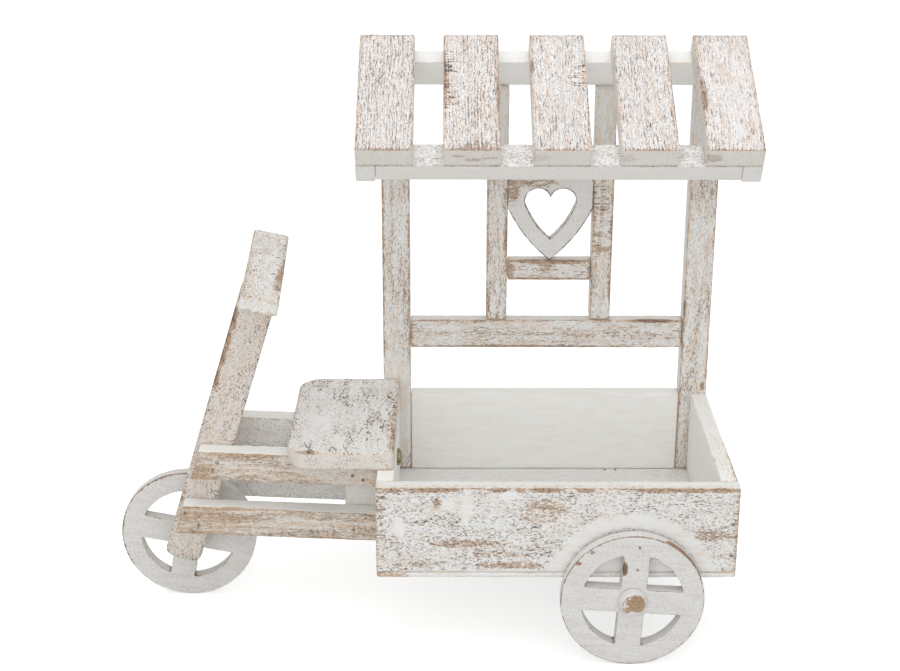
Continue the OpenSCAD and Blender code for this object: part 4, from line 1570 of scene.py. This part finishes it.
@dataclass
class Roof:
    """Five slats on a flat front rail, a back rail on edge and two side rails, all on one slope."""

    slat: Triple = (142.0, 47.5, 18.5)
    rail: tuple[float, float] = (26.0, 15.5)
    side: tuple[float, float] = (16.5, 17.5)
    shifts: tuple[float, ...] = (0.0, 0.3, 2.4, 1.9, 0.0)

    def on_slope(self, x: float, y: float, z: float) -> Vector:
        """The place of a point that lies y up the slope from the front edge and z over the slats' tops.

        Args:
            x: Distance from the box's end, in millimetres.
            y: Distance up the slope.
            z: Height over the tops, square to the slope.

        Returns:
            The place in the planter's frame.
        """
        slope = math.radians(ROOF_PITCH)
        up, out = y - self.slat[0], z + self.slat[2] + self.rail[0]
        return here(x, BACK_Y + math.cos(slope) * up - math.sin(slope) * out,
                    POST_TOP + math.sin(slope) * up + math.cos(slope) * out)

    def spot(self, i: int, across: float, up: float, reach: tuple[float, float], depth: float) -> Mark:
        """A mark on top of a slat.

        Args:
            i: Number of the slat, from 0.
            across: Distance from its left edge, in millimetres.
            up: Distance from its front end.
            reach: Half its width and half its length up the slope.
            depth: Its depth.

        Returns:
            The mark.
        """
        wide, long = reach
        middle = from_box(self.on_slope(self.left(i) + across, up, 0.0))
        return Mark(middle, (wide, long * 0.9, max(3.0, long * 0.55)), depth)

    def left(self, i: int) -> float:
        """The left edge of a slat, counted from the box's end."""
        step = (BOX_L + 2 * self.side[0] - self.slat[1]) / (len(self.shifts) - 1)
        return -self.side[0] + i * step + self.shifts[i]

    def rubbed(self, i: int) -> tuple[Mark, ...]:
        """A slat's cream edges, and its brown spots.

        Args:
            i: Number of the slat, from 0.

        Returns:
            The marks.
        """
        length, width, _ = self.slat
        edge = self.spot(i, width / 2, 0.0, (32.0, 1.0), 0.4)
        marks = [self.spot(i, width, length * 0.5, (6.0, 90.0), 0.06 + 0.04 * (i % 2)),
                 self.spot(i, 0.0, length * 0.6, (4.0, 60.0), 0.14 if i in (1, 4) else 0.05),
                 replace(edge, reach=(32.0, 1.3, 1.3))]
        wavy = ((12.0, -7.0, 9.0, 1.9), (25.0, -11.0, 13.0, 2.6), (38.0, -9.0, 10.0, 1.8))
        for across, down, wide, high in wavy if i == 1 else ((6.0, -9.0, 12.0, 8.0),) if i > 1 else ():
            end = from_box(self.on_slope(self.left(i) + across, 0.0, down))
            marks.append(Mark(end, (wide, 5.0, high), 0.3 - 0.02 * (i > 1)))
        if i in (2, 3):
            marks.append(self.spot(i, 24.0, 71.0, (60.0, 190.0), -0.07))
        if i == 1:
            marks += [self.spot(i, width, 62.0, (5.0, 26.0), 0.3), self.spot(i, 2.0, 82.0, (4.0, 22.0), 0.22),
                      self.spot(i, 28.0, 4.0, (26.0, 8.0), 0.12)]
        if i == 2:
            marks += [self.spot(i, 1.0, 100.0, (2.5, 16.0), 0.5), self.spot(i, 7.0, 44.0, (3.0, 20.0), 0.12)]
        if i == 4:
            marks += [self.spot(i, 3.0, 66.0, (3.5, 34.0), 0.45),
                      self.spot(i, 28.0, 70.0, (30.0, 130.0), -0.2)]
        return tuple(marks)

    def sawn(self, i: int) -> tuple[Mark, ...]:
        """Where the saw left marks across a slat.

        Args:
            i: Number of the slat, from 0.

        Returns:
            The marks.
        """
        if i == 1:
            return (self.spot(i, 4.0, 80.0, (18.0, 80.0), 0.8),)
        return (self.spot(i, 40.0, 90.0, (14.0, 34.0), 0.7),) if i == 2 else ()

    def build(self) -> None:
        """Builds the slats and the rails."""
        tilt = Matrix.Rotation(math.radians(ROOF_PITCH), 3, "X")
        upward = tilt @ Axis.Y.value
        length, width, thick = self.slat
        wide, thin = self.rail
        side_t, side_h = self.side
        for i in range(len(self.shifts)):
            middle = self.on_slope(self.left(i) + width / 2, length / 2, -thick / 2)
            Board(f"roof_slat_{i + 1}", Place(middle, upward), self.slat, SLAT, 41 + i,
                  slot="whitewash_slats", cell=(3.0, 0.9), brushed=evenly(0.35, top=1.0),
                  marks=self.rubbed(i), sawn=self.sawn(i), brush=0.3).make()
        middle_x = BOX_L / 2
        front = self.on_slope(middle_x, wide / 2, -thick - thin / 2)
        back = self.on_slope(middle_x, length - thin / 2, -thick - wide / 2)
        tight = {"ease": 0.3, "chip": 0.3, "sag": 0.1}
        Board("roof_front_rail", Place(front, tilt), (BOX_L, wide, thin), ROOF_RAIL, 51,
              brushed=evenly(0.15, top=0.9), **tight).make()
        Board("roof_back_rail", Place(back, tilt), (BOX_L, thin, wide), BACK_RAIL_PAINTED_LIGHT, 52,
              brushed=evenly(0.15), **tight).make()
        for seed, (node, x) in enumerate((("roof_left_side_rail", -side_t / 2),
                                          ("roof_right_side_rail", BOX_L + side_t / 2))):
            place = Place(self.on_slope(x, length / 2, -thick - side_h / 2), upward)
            corners = tuple(Corner(0, (way, -1), 2.0) for way in (-1, 1))
            RoundedBoard(node, place, (length, side_t, side_h), SMOOTH, 53 + seed, brushed=evenly(0.3),
                         corners=corners, **tight).make()


@dataclass
class FrontFrame:
    """Four rails and a spacer block that tie the fork to the box, with the seat board on top."""

    rail: tuple[float, float] = (27.0, 17.5)
    far_upper: float = 29.0
    rise: float = 2.5
    front_edge: float = -203.45
    upper_top: float = 153.68
    lower_top: float = 101.53
    seat: tuple[float, float] = (22.0, 4.0)

    def build(self) -> None:
        """Builds the rails, the spacer block and the seat."""
        rise, lean = math.radians(self.rise), math.radians(FORK_LEAN)
        axes = Matrix.Rotation(rise, 3, "Y")
        width, thick = self.rail
        ends = (Cut((0.0, 0.0, 0.0), (1.0, 0.0, 0.0)),
                Cut((self.front_edge, 0.0, 0.0), (-math.cos(lean), 0.0, math.sin(lean))))
        reach = -90.0
        near, far = FRAME_NEAR_Y - thick / 2, FRAME_FAR_Y + thick / 2
        for seed, (node, y, top, high) in enumerate((
                ("near_upper_rail", near, self.upper_top, width),
                ("near_lower_rail", near, self.lower_top, width),
                ("far_upper_rail", far, self.upper_top, self.far_upper),
                ("far_lower_rail", far, self.lower_top, width))):
            z = top - high / math.cos(rise) / 2 - reach * math.tan(rise)
            wash, slot, sides = ((RAIL, "worn_rails", evenly(0.5, front=1.0, top=0.1)) if seed < 2 else
                                 (FAR_RAIL_PAINTED_LIGHT, "whitewash_fork", evenly(0.5, back=1.0, top=0.1)))
            Board(node, Place(here(reach, y, z), axes), (230.0, thick, high), wash, 61 + seed, slot=slot,
                  cuts=ends, brushed=sides, marks=self.rubbed(node)).make()
        place, size = aligned("spacer_block", Axis.Z)
        Board("spacer_block", place, size, SMOOTH, 66, slot="whitewash_fork", cell=(4.0, 2.5),
              brushed=evenly(0.3)).make()
        place, size = aligned("seat_board", Axis.Y)
        front, rear = self.seat
        corners = (Corner(2, (-1, 1), front), Corner(2, (1, 1), front),
                   Corner(2, (-1, -1), rear), Corner(2, (1, -1), rear))
        marks = (Mark((-58.0, 37.5, 172.0), (16.0, 5.0, 3.5), 0.3),
                 Mark((14.0, 78.0, 172.0), (9.0, 66.0, 4.0), 0.19),
                 Mark((8.0, 45.0, 165.0), (10.0, 16.0, 10.0), 0.12),
                 Mark((-54.0, 88.0, 172.0), (22.0, 44.0, 8.0), -0.34),
                 Mark((-35.0, 62.0, 172.0), (12.0, 20.0, 6.0), -0.3))
        RoundedBoard("seat_board", place, size, SEAT, 67, slot="whitewash_fork", corners=corners,
                     ease=1.4, cell=(3.0, 1.6), brushed=evenly(0.45, top=1.0), marks=marks).make()

    @staticmethod
    def rubbed(node: str) -> tuple[Mark, ...]:
        """The tan stretches of the near rails.

        Args:
            node: Name of the rail.

        Returns:
            Its marks.
        """
        marks = {
            "near_upper_rail": (Mark((-155.0, 64.0, 147.0), (20.0, 5.0, 22.0), 0.12),
                                Mark((-120.0, 64.0, 158.0), (40.0, 4.0, 5.0), 0.15)),
            "near_lower_rail": (Mark((-150.0, 64.0, 92.0), (60.0, 5.0, 20.0), 0.1),
                                Mark((-100.0, 64.0, 107.0), (110.0, 4.0, 3.5), 0.3)),
        }
        return marks.get(node, ())


@dataclass
class Fork:
    """Two leaning legs that hold the front wheel, and the handlebar across their tops."""

    tilt: float = 13.0
    turn: float = 2.5
    leg: Triple = (252.0, 32.0, 15.0)
    foot: float = 12.0
    foot_r: float = 8.0
    spare: float = 32.0
    bar: Triple = (178.0, 32.0, 13.0)
    bar_r: float = 4.0

    def build(self) -> None:
        """Builds the legs and the handlebar."""
        lean, tilt = math.radians(FORK_LEAN), math.radians(self.tilt)
        length, width, thick = self.leg
        along = Vector((math.sin(lean), 0.0, math.cos(lean)))
        axes = Matrix.Rotation(lean, 3, "Y") @ Axis.Z.value
        x, z = FRONT_AXLE
        bar_x, bar_z = x + length * along.x, z + length * along.z
        top = Cut((bar_x, 0.0, bar_z), (math.sin(tilt), 0.0, math.cos(tilt)))
        corners = tuple(Corner(1, (-1, side), self.foot_r) for side in (-1, 1))
        middle = (length + self.spare - self.foot) / 2
        for seed, (node, y) in enumerate((("near_fork_leg", FRAME_NEAR_Y + thick / 2),
                                          ("far_fork_leg", FRAME_FAR_Y - thick / 2))):
            place = Place(here(x, y, z) + along * middle, axes)
            near = seed == 0
            RoundedBoard(node, place, (length + self.spare + self.foot, thick, width), FORK, 71 + seed,
                         slot="whitewash_fork", cuts=(top,), corners=corners,
                         brushed=evenly(0.5, **{"front" if near else "back": 1.0}),
                         marks=self.arris_marks() if near else ()).make()
        turned = Matrix.Rotation(tilt, 3, "Y") @ Matrix.Rotation(math.radians(self.turn), 3, "Z")
        place = Place(here(bar_x, MID_Y, bar_z) + turned @ Vector((0, 0, self.bar[2] / 2)),
                      turned @ Axis.Y.value)
        corners = tuple(Corner(2, (first, second), self.bar_r) for first in (-1, 1) for second in (-1, 1))
        RoundedBoard("handlebar", place, self.bar, BAR, 74, slot="whitewash_fork", corners=corners,
                     ease=1.2, brushed=evenly(0.5, top=1.0),
                     marks=(Mark((bar_x + 17.0, 90.0, bar_z + 10.0), (5.0, 60.0, 8.0), 0.3),)).make()

    @staticmethod
    def arris_marks() -> tuple[Mark, ...]:
        """The near leg's front arris, rubbed to the wood."""
        return tuple(Mark((x, FRAME_NEAR_Y, z), (5.0, 4.0, 18.0), depth) for x, z, depth in (
            (-121.0, 281.0, 0.9), (-127.0, 262.0, 0.8), (-132.0, 246.0, 0.9), (-138.0, 227.0, 0.8)))


@dataclass
class RunningGear:
    """The three wheels, the rear axle's blocks and its hub caps."""

    front_turn: float = 11.0
    rear_turn: float = 3.5
    radius: float = 60.0

    def build(self) -> None:
        """Builds the wheels, the blocks and the caps."""
        upright = Matrix.Rotation(math.radians(90), 3, "X")
        for seed, (node, spin) in enumerate((("front_wheel", self.front_turn),
                                             ("near_rear_wheel", self.rear_turn),
                                             ("far_rear_wheel", self.rear_turn))):
            low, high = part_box(node)
            thick = (high.y - low.y) / MM
            place = Place((low + high) / 2 / MM, Matrix.Rotation(math.radians(spin), 3, "Y") @ upright)
            SpokedWheel(node, place, (2 * self.radius, 2 * self.radius, thick), WHEEL, 81 + seed,
                        slot="whitewash_wheels", body=node, ease=0.7, chip=0.7, sag=0.12,
                        cell=(1.8, 1.8) if node == "near_rear_wheel" else (4.0, 4.0),
                        brushed=evenly(0.32), **self.wear_of(node)).make()
        for seed, node in enumerate(("near_axle_block", "far_axle_block")):
            place, size = aligned(node, Axis.Y)
            Board(node, place, size, SMOOTH, 84 + seed, slot="whitewash_fork", cell=(4.0, 3.0),
                  brushed=evenly(0.3)).make()
        for seed, (node, turn) in enumerate((("near_hub_cap", 90.0), ("far_hub_cap", -90.0))):
            low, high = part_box(node)
            place = Place((low + high) / 2 / MM, Matrix.Rotation(math.radians(turn), 3, "X"))
            HubCap(node, place, (25.5, 25.5, (high.y - low.y) / MM), CAP, 86 + seed,
                   slot="whitewash_wheels", ease=1.0, cell=(1.6, 1.6), chip=0.5, sag=0.1, brushed=evenly(0.3),
                   marks=(Mark((216.0, -21.5, 62.5), (12.5, 5.0, 12.5), 0.55),
                          Mark((208.5, -21.5, 56.5), (6.5, 5.0, 5.0), 0.5))).make()

    @staticmethod
    def wear_of(node: str) -> dict[str, object]:
        """Where a wheel's arris and tread are rubbed, and its chips and dents.

        Args:
            node: Name of the wheel.

        Returns:
            The wheel's fields that differ.
        """
        chips = (Mark((205.5, -13.3, 90.0), (3.6, 4.0, 8.0), 1.0),
                 Mark((217.2, -13.3, 109.5), (2.1, 2.0, 2.4), 0.6),
                 Mark((216.4, -13.3, 89.0), (1.7, 2.0, 3.0), 0.55),
                 Mark((167.0, -13.3, 95.0), (5.0, 3.0, 3.6), 0.5),
                 Mark((178.5, -13.3, 104.8), (4.5, 3.0, 3.0), 0.5))
        return {
            "front_wheel": {"rubbed_arc": (75.0, 215.0)},
            "near_rear_wheel": {"bare_arc": (12.0, 68.0), "marks": chips},
            "far_rear_wheel": {"outward": -1.0},
        }[node]


@dataclass
class Fasteners:
    """Bolts, washers, nuts, axles and nails, which keep their solids' shapes."""

    steel: tuple[str, ...] = ("front_axle", "front_collars", "rear_axle", "rear_washers", "bolt_washers",
                              "bolt_nuts")

    def dress(self, nodes: dict[str, bpy.types.Object]) -> None:
        """Gives each solid its finish.

        Args:
            nodes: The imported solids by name.
        """
        thin = OldNail(rust=srgb(118, 100, 86), shown=0.62)
        hidden = OldNail(shown=0.0)
        for group, finish in ((self.steel, STEEL), (("coach_bolts",), BRASS), (("box_nails",), OldNail()),
                              (("frame_nails", "handlebar_nails"), thin),
                              (("roof_nails", "seat_nails"), hidden)):
            for node in group:
                place, _ = aligned(node, Axis.X)
                piece = nodes[node]
                piece.data.materials.clear()
                piece.data.materials.append(finish.material(f"{node}_finish", place, 3))
                log.info("%s: dressed", node)


@dataclass
class Studio:
    """A pale floor, soft light and the camera."""

    eye: Triple = (0.015822, -1.357731, 0.758513)
    focal: float = 67.474
    pitch: float = 20.591
    yaw: float = 0.139
    roll: float = 0.132
    floor_size: float = 40.0
    floor_glow: float = 0.52
    sky: float = 0.68

    def camera(self) -> None:
        """Adds the camera where the photographer stood."""
        pitch, yaw, roll = (math.radians(a) for a in (self.pitch, self.yaw, self.roll))
        ahead = Vector((math.sin(yaw) * math.cos(pitch), math.cos(yaw) * math.cos(pitch), -math.sin(pitch)))
        right = Vector((math.cos(yaw), -math.sin(yaw), 0.0))
        up = right.cross(ahead)
        right_rolled = math.cos(roll) * right + math.sin(roll) * up
        up_rolled = math.cos(roll) * up - math.sin(roll) * right
        lens = bpy.data.cameras.new("camera")
        lens.sensor_fit = "HORIZONTAL"
        lens.sensor_width = 36.0
        lens.lens = self.focal
        lens.clip_start = 0.05
        lens.clip_end = 100.0
        camera = bpy.data.objects.new("camera", lens)
        bpy.context.scene.collection.objects.link(camera)
        turn = Matrix((right_rolled, up_rolled, -ahead)).transposed()
        camera.matrix_world = Matrix.Translation(self.eye) @ turn.to_4x4()
        bpy.context.scene.camera = camera

    def floor(self) -> None:
        """Adds the floor, which shows white but keeps the planter's shadow."""
        deselect()
        bpy.ops.mesh.primitive_plane_add(size=self.floor_size, location=(0.0, 0.0, -0.0002))
        floor = bpy.context.object
        floor.name = "floor"
        s = Sketch.named("floor_paper")
        grain = s.noise(s.node("ShaderNodeTexCoord").outputs["Object"], (0.4, 0.4, 0.4), 2.0)
        matt = s.node("ShaderNodeBsdfDiffuse")
        s.feed(matt.inputs["Color"], s.mix(s.spread(grain, 0.3, 0.7), (0.80, 0.80, 0.80), (0.82, 0.82, 0.82)))
        glow = s.node("ShaderNodeEmission")
        glow.inputs["Strength"].default_value = self.floor_glow
        both = s.node("ShaderNodeAddShader")
        s.feed(both.inputs[0], matt.outputs[0])
        s.feed(both.inputs[1], glow.outputs[0])
        seen = s.node("ShaderNodeMixShader")
        s.feed(seen.inputs[0], self.seen(s))
        s.feed(seen.inputs[1], matt.outputs[0])
        s.feed(seen.inputs[2], both.outputs[0])
        s.feed(s.node("ShaderNodeOutputMaterial").inputs["Surface"], seen.outputs[0])
        floor.data.materials.append(s.owner)

    @staticmethod
    def seen(s: Sketch) -> Socket:
        """1 for rays that come from the camera, a mirror or glass, and 0 for the rest.

        Args:
            s: The sketch that it is added to.

        Returns:
            The number.
        """
        rays = s.node("ShaderNodeLightPath")
        first = s.math("MAXIMUM", rays.outputs["Is Camera Ray"], rays.outputs["Is Glossy Ray"])
        return s.math("MAXIMUM", first, rays.outputs["Is Transmission Ray"])

    def light(self) -> None:
        """Adds the soft light: a pale sky, a wide lamp overhead and a weak one in front."""
        world = bpy.data.worlds.new("studio")
        bpy.context.scene.world = world
        s = Sketch(world)
        sky = s.node("ShaderNodeBackground")
        s.feed(sky.inputs["Strength"], s.spread(self.seen(s), 0.0, 1.0, self.sky, 1.0, smooth=False))
        sky.inputs["Color"].default_value = (1.0, 1.0, 1.0, 1.0)
        s.feed(s.node("ShaderNodeOutputWorld").inputs["Surface"], sky.outputs[0])
        for name, place, aim, size, power in (
                ("overhead", (0.1, -0.4, 1.9), (0.0, 0.0, 0.2), 1.6, 8.0),
                ("front", (-0.3, -2.0, 1.0), (0.0, 0.0, 0.2), 1.6, 9.0)):
            lamp = bpy.data.lights.new(name, "AREA")
            lamp.shape = "SQUARE"
            lamp.size = size
            lamp.energy = power
            holder = bpy.data.objects.new(name, lamp)
            bpy.context.scene.collection.objects.link(holder)
            aim_line = Vector(aim) - Vector(place)
            turn = aim_line.to_track_quat("-Z", "Y").to_matrix().to_4x4()
            holder.matrix_world = Matrix.Translation(place) @ turn

    def build(self) -> None:
        """Sets the studio up."""
        bpy.context.scene.view_settings.view_transform = "Standard"
        self.camera()
        self.floor()
        self.light()


def main() -> None:
    """Builds the planter's looks piece by piece, and the studio round it."""
    logging.basicConfig(level=logging.INFO, format="%(message)s")
    Studio().build()
    PlantingBox().build()
    Canopy().build()
    Roof().build()
    FrontFrame().build()
    Fork().build()
    RunningGear().build()
    Fasteners().dress(frame["nodes"])
    deselect()


if __name__ == "__main__":
    main()
